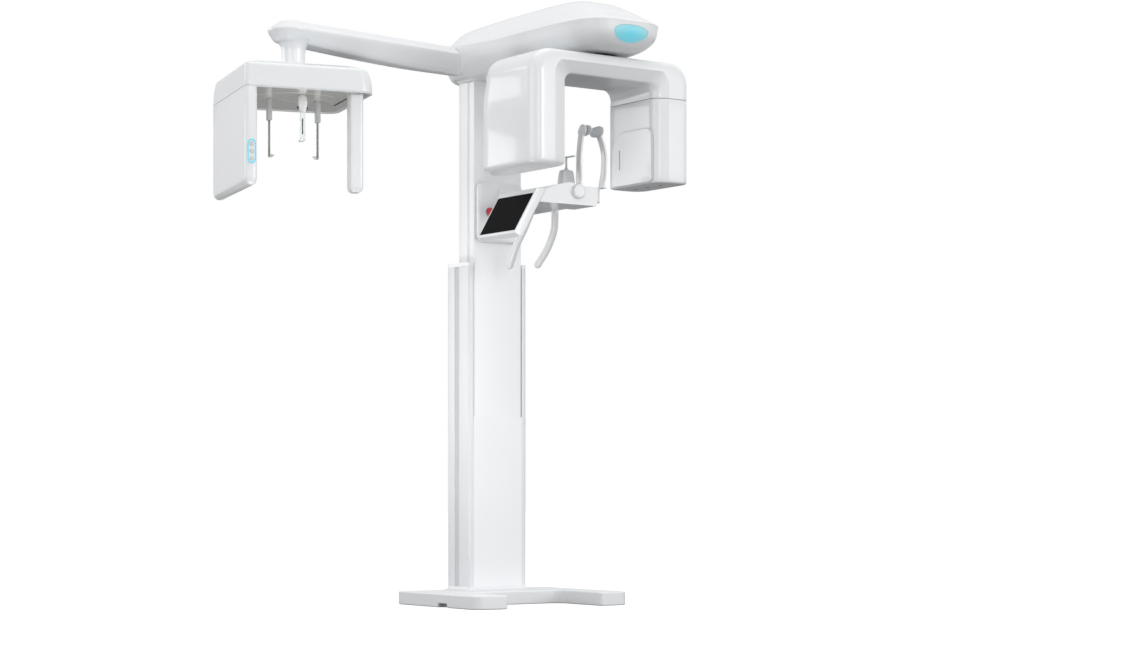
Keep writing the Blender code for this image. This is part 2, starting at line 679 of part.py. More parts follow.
def build_screen():
    """Tilted screen housing with its glass, on the wing's slanted left end."""
    low_y, high_y = SCREEN_Y
    top_x, top_z = SCREEN_TOP
    run_x = SCREEN_LENGTH * math.sin(SCREEN_TILT)
    run_z = SCREEN_LENGTH * math.cos(SCREEN_TILT)
    back_x = SCREEN_THICKNESS * math.cos(SCREEN_TILT)
    back_z = SCREEN_THICKNESS * math.sin(SCREEN_TILT)
    side = [(top_x, top_z), (top_x - run_x, top_z - run_z),
            (top_x - run_x + back_x, top_z - run_z - back_z),
            (top_x + SCREEN_THICKNESS / math.cos(SCREEN_TILT), top_z)]
    housing = prism("screen_housing", fillet(side, [0.006, 0.006, 0.006, 0], 3), low_y, high_y, WHITE,
                    plane="XZ", bevel=0.003)
    bake(housing)
    holder = empty("screen_face", (top_x, (low_y + high_y) / 2, top_z))
    holder.rotation_euler = (0, SCREEN_TILT, 0)
    bpy.context.view_layer.update()
    half = GLASS_WIDTH / 2
    low = -GLASS_MARGIN - GLASS_LENGTH
    recess = box("glass_cutter", (-0.02, -half - GAP, low - GAP),
                 (GLASS_THICKNESS + GAP, half + GAP, -GLASS_MARGIN + GAP), None, parent=holder,
                 group=cutters)
    cut(housing, recess)
    box("touch_screen", (0.0, -half, low), (GLASS_THICKNESS, half, -GLASS_MARGIN), BLACK,
        parent=holder)


def build_handles():
    """Two hand grips that hang from the arm, bowed outwards and leaning to the column."""
    for side, sign, low in (("left", -1, 1.356), ("right", 1, 1.368)):
        foot = [(sign * 0.058, -0.413, ARM_BOTTOM - GAP), (sign * 0.058, -0.413, 1.568)]
        route = [(sign * 0.059, -0.412, 1.558), (sign * 0.072, -0.385, 1.500),
                 (sign * 0.076, -0.330, 1.430), (sign * 0.068, -0.277, low)]
        tube("handle_" + side, foot + bend(route, 9), HANDLE_RADIUS, WHITE, resolution=2)


def build_chin_rest():
    """Chin rest on its stem, and the bite post on top of it."""
    rings = []
    for z, half_x, half_y in ((1.650, 0.036, 0.020), (1.706, 0.028, 0.017), (1.718, 0.024, 0.014)):
        ring = fillet([(half_x, CHIN_Y - half_y), (half_x, CHIN_Y + half_y),
                       (-half_x, CHIN_Y + half_y), (-half_x, CHIN_Y - half_y)], 0.007, 2)
        rings.append([(a, b, z) for a, b in ring])
    rest = loft("chin_rest", rings, GREY)
    stem = turned("stem", [(0, 1.660), (CHIN_STEM_RADIUS, 1.660), (CHIN_STEM_RADIUS, 1.584),
                           (0, 1.584)], None, (0, CHIN_Y, 0))
    cut(rest, stem, "UNION")
    bake(rest)
    drop(stem)
    foot = 1.718 + GAP
    post = turned("bite_post", [(0, 0.055), (0.004, 0.055), (0.0045, 0.010), (0.010, 0.002),
                                (0.010, 0.0), (0, 0.0)], GREY, (0, CHIN_Y, foot), sides=12)
    tab = box("tab", (-0.0065, CHIN_Y - 0.055, foot + 0.048), (0.0065, CHIN_Y, foot + 0.052), None)
    cut(post, tab, "UNION")
    bake(post)
    drop(tab)


def build_temple_supports():
    """Two curved temple arms that slide on the arm's top, each with a soft pad."""
    for side, sign in (("left", -1), ("right", 1)):
        foot_x = sign * TEMPLE_REACH
        seat = ARM_TOP + GAP
        knots = [(foot_x, TEMPLE_Y, seat + 0.02), (sign * 0.0590, TEMPLE_Y - 0.026, 1.710),
                 (sign * 0.0580, TEMPLE_Y - 0.028, 1.765), (sign * 0.0450, TEMPLE_Y - 0.012, 1.825),
                 (sign * 0.0370, TEMPLE_Y - 0.010, 1.850)]
        path = [(foot_x, TEMPLE_Y, seat), (foot_x, TEMPLE_Y, seat + 0.004)] + bend(knots, 8)
        widths = [0.030, 0.027, 0.0255, 0.025, 0.0245, 0.024, 0.024, 0.024, 0.024, 0.022]
        loft("temple_arm_" + side, strip(path, widths, (0, 1, 0), 0.009), WHITE)
        near = sign * 0.0318
        pad_low, pad_high = sorted((near, near - sign * 0.007))
        oval = fillet([(TEMPLE_Y - 0.040, 1.832), (TEMPLE_Y + 0.016, 1.832),
                       (TEMPLE_Y + 0.016, 1.870), (TEMPLE_Y - 0.040, 1.870)], 0.0185, 4)
        prism("temple_pad_" + side, oval, pad_low, pad_high, GREY, plane="YZ", bevel=0.002,
              segments=1)


# ---------------------------------------------------------------- head above the column
def head_ring(z, half_width, rear_half, front, rear, lift=0.0, count=32):
    """A rounded plan outline of the head at one height.

    Its half width goes from half_width in front to rear_half behind, where it also rises by lift.
    """
    ring = []
    middle = (front + rear) / 2
    length = (rear - front) / 2
    for i in range(count):
        angle = 2 * math.pi * i / count
        square = HEAD_SQUARE_FRONT if math.sin(angle) < 0 else HEAD_SQUARE_REAR
        along = math.copysign(abs(math.sin(angle)) ** square, math.sin(angle))
        across = math.copysign(abs(math.cos(angle)) ** square, math.cos(angle))
        y = middle + length * along
        share = min(max((y + 0.42) / 0.62, 0.0), 1.0)
        swell = share * share * (3 - 2 * share)
        half = half_width + (rear_half - half_width) * swell
        ring.append((half * across, y, z + lift * swell))
    return ring


def hull_rings(grow=0.0):
    """The hull's outer rings from its floor to its rim; grow swells them."""
    levels = ((HEAD_FLOOR_Z - grow, 0.130, 0.158, -0.900, 0.125, 0.0),
              (HEAD_FLOOR_Z + 0.020, 0.160, 0.164, -0.945, 0.150, 0.004),
              (HEAD_FLOOR_Z + 0.055, 0.188, 0.168, -0.978, 0.172, 0.015),
              (HEAD_RIM_Z, HEAD_HALF_WIDTH, HEAD_REAR_HALF, HEAD_FRONT_Y, HEAD_REAR_Y, HEAD_LIFT))
    return [head_ring(z, half + grow, rear_half + grow, front - grow, rear + grow, lift)
            for z, half, rear_half, front, rear, lift in levels]


def cover_rings(grow=0.0):
    """The cover's outer rings from just above the rim to the crest."""
    levels = ((2.262, 0.197, 0.164, -0.985, 0.186, 0.034),
              (2.300 + grow, 0.172, 0.146, -0.935, 0.172, 0.022),
              (2.338 + grow, 0.125, 0.108, -0.840, 0.145, 0.006),
              (2.356 + grow, 0.070, 0.062, -0.700, 0.100, -0.004),
              (HEAD_CREST_Z + grow, 0.020, 0.020, -0.560, 0.000, -0.004))
    return [head_ring(z, half + grow, rear_half + grow, front - grow, rear + grow, lift)
            for z, half, rear_half, front, rear, lift in levels]


def hull_hollow():
    """The space inside the hull, left open above its rim."""
    wall = HEAD_WALL
    rings = [head_ring(HEAD_FLOOR_Z + wall, 0.122, 0.150, -0.888, 0.113),
             head_ring(HEAD_FLOOR_Z + 0.020 + wall, 0.152, 0.157, -0.934, 0.139, 0.004),
             head_ring(HEAD_FLOOR_Z + 0.055 + wall, 0.181, 0.162, -0.969, 0.163, 0.015),
             head_ring(HEAD_RIM_Z + 0.04, HEAD_HALF_WIDTH - wall, HEAD_REAR_HALF - wall,
                       HEAD_FRONT_Y + wall, HEAD_REAR_Y - wall, HEAD_LIFT)]
    return loft("hull_cutter", rings, None, group=cutters, ladder=True)


def lens_plug(shrink):
    """An oval bar through the front of the hull, tilted with its slope."""
    half_w = LENS_WIDTH / 2 - shrink
    half_h = LENS_HEIGHT / 2 - shrink
    oval = [(LENS_X + half_w * math.cos(2 * math.pi * k / 28),
             half_h * math.sin(2 * math.pi * k / 28)) for k in range(28)]
    name = "lens_core" if shrink else "lens_cutter"
    plug = prism(name, oval, -0.060, 0.040, None, plane="XZ", group=cutters)
    plug.location = (0, HEAD_FRONT_Y + 0.022, LENS_Z)
    plug.rotation_euler = (-LENS_TILT, 0, 0)
    bpy.context.view_layer.update()
    return plug


def build_head():
    """Lower hull with its holes, the upper cover and the lit lens."""
    hull = loft("head_hull", hull_rings(), WHITE, ladder=True)
    hollow = hull_hollow()
    cut(hull, hollow)
    front = COLUMN_FRONT_Y + FRONT_COVER_THICKNESS + GAP
    half = MAST_WIDTH / 2 + 0.0015
    mast_hole = box("mast_hole_cutter", (-half - GAP, front - GAP, 1.9),
                    (half + GAP, MAST_REAR_Y + GAP, MAST_TOP + GAP), None, group=cutters)
    cut(hull, mast_hole)
    bore = HUB_RADIUS + 0.004
    hub_hole = turned("hub_hole_cutter", [(0, 2.30), (bore, 2.30), (bore, 2.0), (0, 2.0)], None,
                      (0, AXIS_Y, 0), sides=ROUND_WIDE, group=cutters)
    cut(hull, hub_hole)
    cut(hull, lens_plug(0.0))
    lens = loft("light_lens", hull_rings(), CYAN, ladder=True)
    cut(lens, hollow)
    cut(lens, lens_plug(LENS_GAP), "INTERSECT")
    rim = [head_ring(HEAD_RIM_Z + GAP, HEAD_HALF_WIDTH, HEAD_REAR_HALF, HEAD_FRONT_Y, HEAD_REAR_Y,
                     HEAD_LIFT)]
    cover = loft("head_cover", rim + cover_rings(), WHITE, ladder=True)
    wall = HEAD_WALL
    inner_rings = [head_ring(HEAD_RIM_Z - 0.02, HEAD_HALF_WIDTH - wall, HEAD_REAR_HALF - wall,
                             HEAD_FRONT_Y + wall, HEAD_REAR_Y - wall, HEAD_LIFT),
                   head_ring(2.262, 0.189, 0.157, -0.975, 0.178, 0.030),
                   head_ring(2.300 - wall, 0.166, 0.140, -0.925, 0.164, 0.020),
                   head_ring(2.338 - wall, 0.118, 0.101, -0.828, 0.136, 0.004),
                   head_ring(2.356 - wall, 0.064, 0.056, -0.690, 0.090, -0.006)]
    cut(cover, loft("cover_cutter", inner_rings, None, group=cutters, ladder=True))


def build_head_frame():
    """Steel frame on the mast, the slewing ring in it, and the drive that turns the rotor."""
    low = MAST_TOP + GAP
    high = low + FRAME_THICKNESS
    reach = HUB_RADIUS + RING_WIDTH + GAP + 0.024
    half = [(reach, AXIS_Y - reach), (reach, -0.560), (0.080, -0.420), (0.080, 0.050)]
    radii = [reach - 0.001, 0.05, 0.05, 0.02]
    outline = fillet(half + [(-x, y) for x, y in reversed(half)], radii + radii[::-1], 5)
    frame = prism("head_frame", outline, low, high, STEEL)
    seat = HUB_RADIUS + GAP + RING_WIDTH + GAP
    hole = turned("frame_hole_cutter", [(0, 2.4), (seat, 2.4), (seat, 2.0), (0, 2.0)], None,
                  (0, AXIS_Y, 0), sides=ROUND_WIDE, group=cutters)
    cut(frame, hole)
    inner = HUB_RADIUS + GAP
    outer = inner + RING_WIDTH
    turned("slewing_ring", [(inner, high), (outer, high), (outer, low), (inner, low)], STEEL,
           (0, AXIS_Y, 0), sides=ROUND_WIDE)
    pulley_low = high + 2 * GAP
    pulley_high = pulley_low + PULLEY_THICKNESS
    pinion_y = AXIS_Y + PULLEY_RADIUS + PINION_RADIUS + GAP
    turned("drive_pinion", [(0, pulley_high), (PINION_RADIUS, pulley_high),
                            (PINION_RADIUS, pulley_low), (0, pulley_low)], STEEL, (0, pinion_y, 0))
    motor = box("rotation_motor", (-0.035, pinion_y - 0.030, pulley_high + GAP),
                (0.035, pinion_y + 0.085, pulley_high + 0.070), TRIM)
    leg = box("leg", (-0.035, pinion_y + PINION_RADIUS + 0.004, high + GAP),
              (0.035, pinion_y + 0.085, pulley_high + 0.030), None)
    cut(motor, leg, "UNION")
    bake(motor)
    drop(leg)
    return pulley_low, pulley_high


def build_collar():
    """Sloped ring around the mast under the hull."""
    front = COLUMN_FRONT_Y + FRONT_COVER_THICKNESS + GAP
    half = MAST_WIDTH / 2 + 0.0015
    rings = []
    for grow, z in ((0.008, HEAD_FLOOR_Z - 0.010), (0.020, HEAD_FLOOR_Z - GAP)):
        corners = [(half + grow, front - grow), (half + grow, MAST_REAR_Y + grow),
                   (-half - grow, MAST_REAR_Y + grow), (-half - grow, front - grow)]
        rings.append([(x, y, z) for x, y in fillet(corners, 0.016 + grow, 4)])
    collar = loft("head_collar", rings, WHITE)
    hole = box("collar_cutter", (-half - GAP, front - GAP, 1.9), (half + GAP, MAST_REAR_Y + GAP, 2.3),
               None, group=cutters)
    cut(collar, hole)


# ---------------------------------------------------------------- rotor
def leg_plan(sign, rear, outer_front, outer_rear, inset=0.0):
    """Plan outline of one leg of the arch; inset shrinks it."""
    outer = sign * (ARCH_HALF_WIDTH - inset)
    inner = sign * (ARCH_OPENING_HALF + inset)
    front = ARCH_FRONT_Y + inset
    corners = [(inner, front), (outer, front), (outer, rear - inset), (inner, rear - inset)]
    radii = [0.012, outer_front - inset, outer_rear - inset, 0.026 - inset]
    return fillet(corners, radii, 4)


def shoulder_outline(inset=0.0):
    """The arch's outer outline from the front, with rounded shoulders."""
    half = ARCH_HALF_WIDTH - inset
    top = ARCH_TOP - inset
    return fillet([(half, 1.4), (half, top), (-half, top), (-half, 1.4)],
                  [0, ARCH_SHOULDER - inset, ARCH_SHOULDER - inset, 0], 5)


def build_arch():
    """Hollow arch: tube head leg, beam and the upper part of the detector leg."""
    wall = ARCH_WALL
    arch = prism("arch_shell", leg_plan(-1, TUBE_REAR_Y, 0.060, 0.13), TUBE_BOTTOM, ARCH_TOP + 0.02, WHITE)
    leg = prism("leg", leg_plan(1, DETECTOR_REAR_Y, 0.036, 0.06), DETECTOR_SEAM_Z, ARCH_TOP + 0.02, None)
    beam = box("beam", (-0.30, ARCH_FRONT_Y, ARCH_OPENING_TOP), (0.30, BEAM_REAR_Y, ARCH_TOP + 0.02),
               None)
    shoulders = prism("shoulders", shoulder_outline(), -1.0, -0.3, None, plane="XZ")
    cut(arch, leg, "UNION")
    cut(arch, beam, "UNION")
    cut(arch, shoulders, "INTERSECT")
    bake(arch)
    drop(leg, beam, shoulders)
    soften(arch, 0.005, 1, 50)
    bake(arch)
    hollow = prism("arch_hollow", leg_plan(-1, TUBE_REAR_Y, 0.060, 0.13, wall), TUBE_BOTTOM + wall,
                   ARCH_TOP + 0.01, None, group=cutters)
    leg = prism("leg_hollow", leg_plan(1, DETECTOR_REAR_Y, 0.036, 0.06, wall), DETECTOR_SEAM_Z - 0.05,
                ARCH_TOP + 0.01, None)
    beam = box("beam_hollow", (-0.30, ARCH_FRONT_Y + wall, ARCH_OPENING_TOP + wall),
               (0.30, BEAM_REAR_Y - wall, ARCH_TOP + 0.01), None)
    shoulders = prism("shoulder_hollow", shoulder_outline(wall), -1.0, -0.3, None, plane="XZ")
    cut(hollow, leg, "UNION")
    cut(hollow, beam, "UNION")
    cut(hollow, shoulders, "INTERSECT")
    bake(hollow)
    drop(leg, beam, shoulders)
    cut(arch, hollow, solver="MANIFOLD")
    bore = turned("arch_bore_cutter", [(0, 2.4), (HUB_BORE, 2.4), (HUB_BORE, 2.08), (0, 2.08)], None,
                  (0, AXIS_Y, 0), group=cutters)
    cut(arch, bore)


def build_rotor_pieces(pulley_low, pulley_high):
    """Detector leg's lower shell and cover, tube head and detector inside, hub and pulley."""
    wall = ARCH_WALL
    shell = prism("detector_shell", leg_plan(1, DETECTOR_REAR_Y, 0.036, 0.06), DETECTOR_BOTTOM,
                  DETECTOR_SEAM_Z - GAP, WHITE, bevel=0.004, segments=1)
    bake(shell)
    hollow = prism("detector_hollow", leg_plan(1, DETECTOR_REAR_Y, 0.036, 0.06, wall),
                   DETECTOR_BOTTOM + wall, DETECTOR_SEAM_Z + 0.05, None, group=cutters)
    cut(shell, hollow)
    face = fillet([(COVER_Y[0], DETECTOR_BOTTOM + 0.004), (COVER_Y[1], DETECTOR_BOTTOM + 0.004),
                   (COVER_Y[1], COVER_TOP), (COVER_Y[0], COVER_TOP)], [0.01, 0.01, 0.06, 0.06], 5)
    cover = prism("detector_cover", face, ARCH_OPENING_HALF - COVER_THICKNESS,
                  ARCH_OPENING_HALF - GAP, WHITE, plane="YZ", bevel=0.003, segments=1)
    slit = box("slit_cutter", (0.15, SLIT_Y - 0.002, 1.726), (ARCH_OPENING_HALF - 0.002,
                                                            SLIT_Y + 0.002, 1.801), None,
               group=cutters)
    cut(cover, slit)
    box("detector_panel", (ARCH_OPENING_HALF + wall + GAP, -0.830, DETECTOR_BOTTOM + wall + GAP),
        (ARCH_OPENING_HALF + wall + 0.030, -0.600, 1.920), TRIM, 0.003, 1)
    inside = TUBE_BOTTOM + wall + GAP
    box("tube_head", (-0.345, -0.800, inside), (-ARCH_OPENING_HALF - wall - GAP, -0.520,
                                               inside + 0.220), STEEL, 0.006, 1)
    box("tube_port", (-ARCH_OPENING_HALF + GAP, -0.770, 1.705),
        (-ARCH_OPENING_HALF + 0.003, -0.710, 1.835), GREY, 0.001, 1)
    foot = ARCH_TOP + GAP
    turned("rotor_hub", [(HUB_BORE, pulley_low - GAP), (HUB_RADIUS, pulley_low - GAP),
                         (HUB_RADIUS, foot), (HUB_BORE, foot)],
           RUBBER, (0, AXIS_Y, 0), sides=ROUND_WIDE)
    turned("rotor_pulley", [(HUB_BORE, pulley_high), (PULLEY_RADIUS, pulley_high),
                            (PULLEY_RADIUS, pulley_low), (HUB_BORE, pulley_low)], STEEL,
           (0, AXIS_Y, 0), sides=ROUND_WIDE)


# ---------------------------------------------------------------- cephalometric unit
def build_ceph_arm():
    """Hollow arm from the head to the cephalometric unit's neck."""
    holder = empty("ceph_arm_axis", (*CEPH_AXIS, 0), CEPH_ARM_TURN)
    levels = ((CEPH_ARM_BOTTOM, 0.014), (CEPH_ARM_BOTTOM + 0.022, 0.001), (CEPH_ARM_CREASE, 0.0),
              (CEPH_ARM_CREASE + 0.018, 0.016), (CEPH_ARM_TOP, 0.042))
    inner_levels = ((CEPH_ARM_BOTTOM + 0.005, 0.018), (CEPH_ARM_BOTTOM + 0.024, 0.007),
                    (CEPH_ARM_CREASE - 0.002, 0.006), (CEPH_ARM_CREASE + 0.011, 0.020))

    def plan(inset, reach):
        tip = CEPH_TIP_HALF - inset
        root = CEPH_ROOT_HALF - inset
        corners = [(-0.018 - tip, -tip), (reach, -root), (reach, root), (-0.018 - tip, tip)]
        return fillet(corners, [tip * 0.98, 0, 0, tip * 0.98], 6)

    rings = [[(x, y, z) for x, y in plan(inset, 0.880)] for z, inset in levels]
    arm = loft("ceph_arm", rings, WHITE, parent=holder)
    hollow_rings = [[(x, y, z) for x, y in plan(inset, 0.980)] for z, inset in inner_levels]
    hollow = loft("ceph_arm_cutter", hollow_rings, None, parent=holder, group=cutters)
    cut(arm, hollow)
    envelope = loft("head_envelope_cutter", hull_rings(ARM_FIT) + cover_rings(ARM_FIT), None,
                    group=cutters, ladder=True)
    cut(arm, envelope)


def ceph_plan(inset):
    """Plan outline of the cephalometric housing about its neck."""
    corners = [(CEPH_RIGHT - inset, -CEPH_HALF_DEPTH + inset),
               (CEPH_RIGHT - inset, CEPH_HALF_DEPTH - inset),
               (CEPH_LEFT + inset, CEPH_HALF_DEPTH - inset),
               (CEPH_LEFT + inset, -CEPH_HALF_DEPTH + inset)]
    side = max(0.050 - inset, 0.006)
    block = max(0.016 - inset, 0.004)
    return fillet(corners, [side, side, block, block], 4)


def build_ceph_housing(unit):
    """Neck, housing and underside plate."""
    turned("ceph_neck", [(0, CEPH_ARM_BOTTOM - GAP), (0.052, CEPH_ARM_BOTTOM - GAP),
                         (0.046, CEPH_ARM_BOTTOM - 0.020), (NECK_RADIUS, CEPH_CROWN_Z + 0.012),
                         (NECK_RADIUS + 0.006, CEPH_CROWN_Z + GAP), (0, CEPH_CROWN_Z + GAP)],
           WHITE, (0, 0, 0), sides=ROUND_WIDE, parent=unit)
    edge = CEPH_TOP_Z - 0.006
    levels = ((CEPH_FLOOR_Z, 0.004), (CEPH_FLOOR_Z + 0.006, 0.0), (edge, 0.0), (edge + 0.010, 0.008),
              (2.062, 0.040), (2.074, 0.095), (CEPH_CROWN_Z, 0.150))
    rings = [[(x, y, z) for x, y in ceph_plan(inset)] for z, inset in levels]
    housing = loft("ceph_housing", rings, WHITE, parent=unit)
    inner_levels = ((CEPH_FLOOR_Z - 0.05, 0.011), (edge, 0.006), (2.055, 0.042), (2.067, 0.110))
    inner = [[(x, y, z) for x, y in ceph_plan(inset)] for z, inset in inner_levels]
    hollow = loft("ceph_hollow_cutter", inner, None, parent=unit, group=cutters)
    cut(housing, hollow)
    plate = prism("ceph_underside", ceph_plan(0.0085 + 0.003), CEPH_FLOOR_Z, CEPH_FLOOR_Z + 0.004,
                  CREAM, parent=unit)
    slot = box("post_slot_cutter", (POST_U + POST_WIDTH / 2 - 0.031, POST_V - 0.010, 1.9),
               (POST_U + POST_WIDTH / 2 - 0.021, POST_V + POST_TRAVEL + POST_DEPTH, 2.0), None,
               parent=unit, group=cutters)
    cut(plate, slot)
    reach = DISC_RADIUS + SLIDE_GAP
    hole = turned("disc_hole_cutter", [(0, 2.0), (reach, 2.0), (reach, 1.9), (0, 1.9)], None,
                  (0, 0, 0), sides=ROUND_WIDE, parent=unit, group=cutters)
    cut(plate, hole)


def build_positioner(unit):
    """Rotating disc with two ear rods and the nasion support."""
    low = CEPH_FLOOR_Z
    disc = turned("positioner_disc", [(0, low + 0.006), (DISC_RADIUS, low + 0.006),
                                      (DISC_RADIUS, low), (0, low)], GREY, (0, 0, 0),
                  sides=ROUND_WIDE, parent=unit)
    bake(disc)
    seat = low - GAP
    for side, sign in (("left", -1), ("right", 1)):
        u = sign * EAR_REACH
        holder = box("ear_arm_" + side, (u - 0.010, -0.019, EAR_SLEEVE_Z), (u + 0.010, 0.019, seat),
                     WHITE)
        holder.parent = unit
        rod = box("rod", (u - 0.003, -0.009, EAR_TIP_Z), (u + 0.003, 0.009, EAR_SLEEVE_Z + 0.02), None)
        rod.parent = unit
        tip = turned("tip", [(0, 0.020), (0.003, 0.018), (0.007, 0.0), (0, 0.0)], None,
                     (u - sign * 0.0025, 0, EAR_TIP_Z + 0.009), sides=12, parent=unit,
                     lie=(-sign, 0, 0))
        cut(holder, rod, "UNION")
        cut(holder, tip, "UNION")
        bake(holder)
        drop(rod, tip)
        soften(holder, 0.0012, 1, 60)
    body = box("nasion_holder", (-0.013, NASION_V - 0.011, NASION_BODY_Z), (0.013, NASION_V + 0.011,
                                                                      seat), WHITE, 0.003, 1)
    body.parent = unit
    blade = box("nasion_blade", (-0.0105, NASION_V - 0.0030, NASION_TIP_Z),
                (0.0105, NASION_V + 0.0030, NASION_BODY_Z - GAP), CLEAR, 0.001, 1)
    blade.parent = unit
    nose = box("nose", (-0.004, NASION_V + 0.001, NASION_TIP_Z), (0.004, NASION_V + 0.030,
                                                             NASION_TIP_Z + 0.008), None)
    nose.parent = unit
    slot = box("slot", (-0.0025, NASION_V - 0.02, NASION_TIP_Z + 0.025), (0.0025, NASION_V + 0.02,
                                                                     NASION_TIP_Z + 0.085), None)
    slot.parent = unit
    cut(blade, nose, "UNION")
    cut(blade, slot)
    bake(blade)
    drop(nose, slot)


def build_ceph_post(unit):
    """Secondary collimator post that hangs from a runner in the underside's slot."""
    half = POST_WIDTH / 2
    seat = CEPH_FLOOR_Z - GAP
    side = fillet([(POST_U - half, POST_BOTTOM), (POST_U + half, POST_BOTTOM), (POST_U + half, seat),
                   (POST_U - half, seat)], [0.018, 0.018, 0, 0], 4)
    post = prism("collimator_post", side, POST_V, POST_V + POST_DEPTH, WHITE, plane="XZ",
                 bevel=0.006)
    post.parent = unit
    bake(post)
    runner = box("runner", (POST_U + half - 0.030, POST_V + 0.004, seat - 0.02),
                 (POST_U + half - 0.022, POST_V + POST_DEPTH - 0.004, CEPH_FLOOR_Z + 0.012), None)
    runner.parent = unit
    cut(post, runner, "UNION")
    bake(post)
    drop(runner)


def build_sensor_block(unit):
    """Hanging sensor block with its key panel and three keys."""
    high = CEPH_FLOOR_Z - GAP
    side = fillet([(-CEPH_HALF_DEPTH, SENSOR_BOTTOM), (CEPH_HALF_DEPTH, SENSOR_BOTTOM),
                   (CEPH_HALF_DEPTH, high), (-CEPH_HALF_DEPTH, high)], [0.012, 0.030, 0, 0], 4)
    block = prism("sensor_block", side, CEPH_LEFT, CEPH_LEFT + SENSOR_WIDTH, WHITE, plane="YZ",
                  bevel=0.006)
    block.parent = unit
    bake(block)
    wall = CEPH_WALL
    hollow = box("sensor_hollow_cutter", (CEPH_LEFT + wall, -CEPH_HALF_DEPTH + wall,
                                          SENSOR_BOTTOM + wall),
                 (CEPH_LEFT + SENSOR_WIDTH - wall, CEPH_HALF_DEPTH - wall, 2.2), None, parent=unit,
                 group=cutters)
    cut(block, hollow)
    box("ceph_sensor", (CEPH_LEFT + SENSOR_WIDTH - wall - 0.022, -0.040, SENSOR_BOTTOM + wall + 0.002),
        (CEPH_LEFT + SENSOR_WIDTH - wall - GAP, 0.040, high - 0.030), TRIM, parent=unit)
    face = -CEPH_HALF_DEPTH - GAP
    ring = fillet([(KEY_U - 0.0155, 1.676), (KEY_U + 0.0155, 1.676), (KEY_U + 0.0155, 1.765),
                   (KEY_U - 0.0155, 1.765)], 0.015, 5)
    panel = prism("key_panel", ring, face - 0.003, face, TRIM, plane="XZ")
    panel.parent = unit
    for number, z in enumerate(KEY_Z, 1):
        bore = KEY_RADIUS + GAP
        hole = turned("key_cutter_%d" % number, [(0, 0.02), (bore, 0.02), (bore, -0.02), (0, -0.02)],
                      None, (KEY_U, face, z), sides=ROUND, parent=unit, lie=(0, -1, 0),
                      group=cutters)
        cut(panel, hole)
        turned("key_%d" % number, [(0, 0.0046), (KEY_RADIUS - 0.001, 0.0046), (KEY_RADIUS, 0.0038),
                                   (KEY_RADIUS, 0.0014), (0, 0.0014)], GREY, (KEY_U, face, z),
               sides=ROUND, parent=unit, lie=(0, -1, 0))


build_base()
build_lower_column()
build_lift_drive()
build_mast()
build_carriage()
build_chin_arm()
build_screen()
build_handles()
build_chin_rest()
build_temple_supports()
build_head()
pulley_levels = build_head_frame()
build_collar()
build_arch()
build_rotor_pieces(*pulley_levels)
build_ceph_arm()
ceph_unit = empty("ceph_unit", (*CEPH_AXIS, 0), CEPH_TURN)
build_ceph_housing(ceph_unit)
build_positioner(ceph_unit)
build_ceph_post(ceph_unit)
build_sensor_block(ceph_unit)
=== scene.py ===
import logging
import math
from dataclasses import dataclass, field, replace
from enum import Enum
from typing import Any, Callable

import bmesh
import bpy
from mathutils import Matrix, Vector


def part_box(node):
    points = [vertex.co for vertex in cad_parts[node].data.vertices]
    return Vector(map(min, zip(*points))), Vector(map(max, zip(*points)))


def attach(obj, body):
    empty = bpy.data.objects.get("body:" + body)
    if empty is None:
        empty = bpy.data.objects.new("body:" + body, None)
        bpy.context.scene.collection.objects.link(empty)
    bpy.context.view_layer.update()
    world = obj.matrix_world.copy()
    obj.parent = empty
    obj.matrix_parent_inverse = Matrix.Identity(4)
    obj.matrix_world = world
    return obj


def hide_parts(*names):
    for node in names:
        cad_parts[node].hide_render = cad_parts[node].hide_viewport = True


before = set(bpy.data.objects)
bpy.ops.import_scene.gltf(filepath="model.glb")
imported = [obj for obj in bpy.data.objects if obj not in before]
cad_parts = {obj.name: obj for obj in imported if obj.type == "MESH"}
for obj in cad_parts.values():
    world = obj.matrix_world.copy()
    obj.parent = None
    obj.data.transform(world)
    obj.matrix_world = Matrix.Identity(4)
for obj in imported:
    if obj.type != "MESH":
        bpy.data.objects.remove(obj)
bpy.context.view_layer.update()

log = logging.getLogger("panoramic_unit")

Flat = tuple[float, float]
Spot = tuple[float, float, float]
Level = tuple[float, ...]
Piece = bpy.types.Object
MM = 0.001
FRONT: Spot = (0.0, -1.0, 0.0)
DOWN: Spot = (0.0, 0.0, -1.0)
WHITE = (1.0, 1.0, 1.0, 1.0)


class Body(Enum):
    """The rigid bodies of the machine."""

    STAND = "stand"
    LIFT = "lift"
    ROTOR = "rotor"
    PINION = "pinion"
    CHIN = "chin_support"
    TEMPLE_LEFT = "temple_left"
    TEMPLE_RIGHT = "temple_right"
    KNOB = "knob"
    STOP = "stop_button"
    POSITIONER = "positioner"
    EAR_LEFT = "ear_left"
    EAR_RIGHT = "ear_right"
    NASION = "nasion"
    POST = "post"
    KEY_TOP = "key_top"
    KEY_MIDDLE = "key_middle"
    KEY_BOTTOM = "key_bottom"


class Plane(Enum):
    """The plane an outline is drawn in; the extrusion runs across it."""

    XY = "XY"
    XZ = "XZ"
    YZ = "YZ"


class Join(Enum):
    """How two solids are combined."""

    CUT = "DIFFERENCE"
    MEET = "INTERSECT"
    WELD = "UNION"


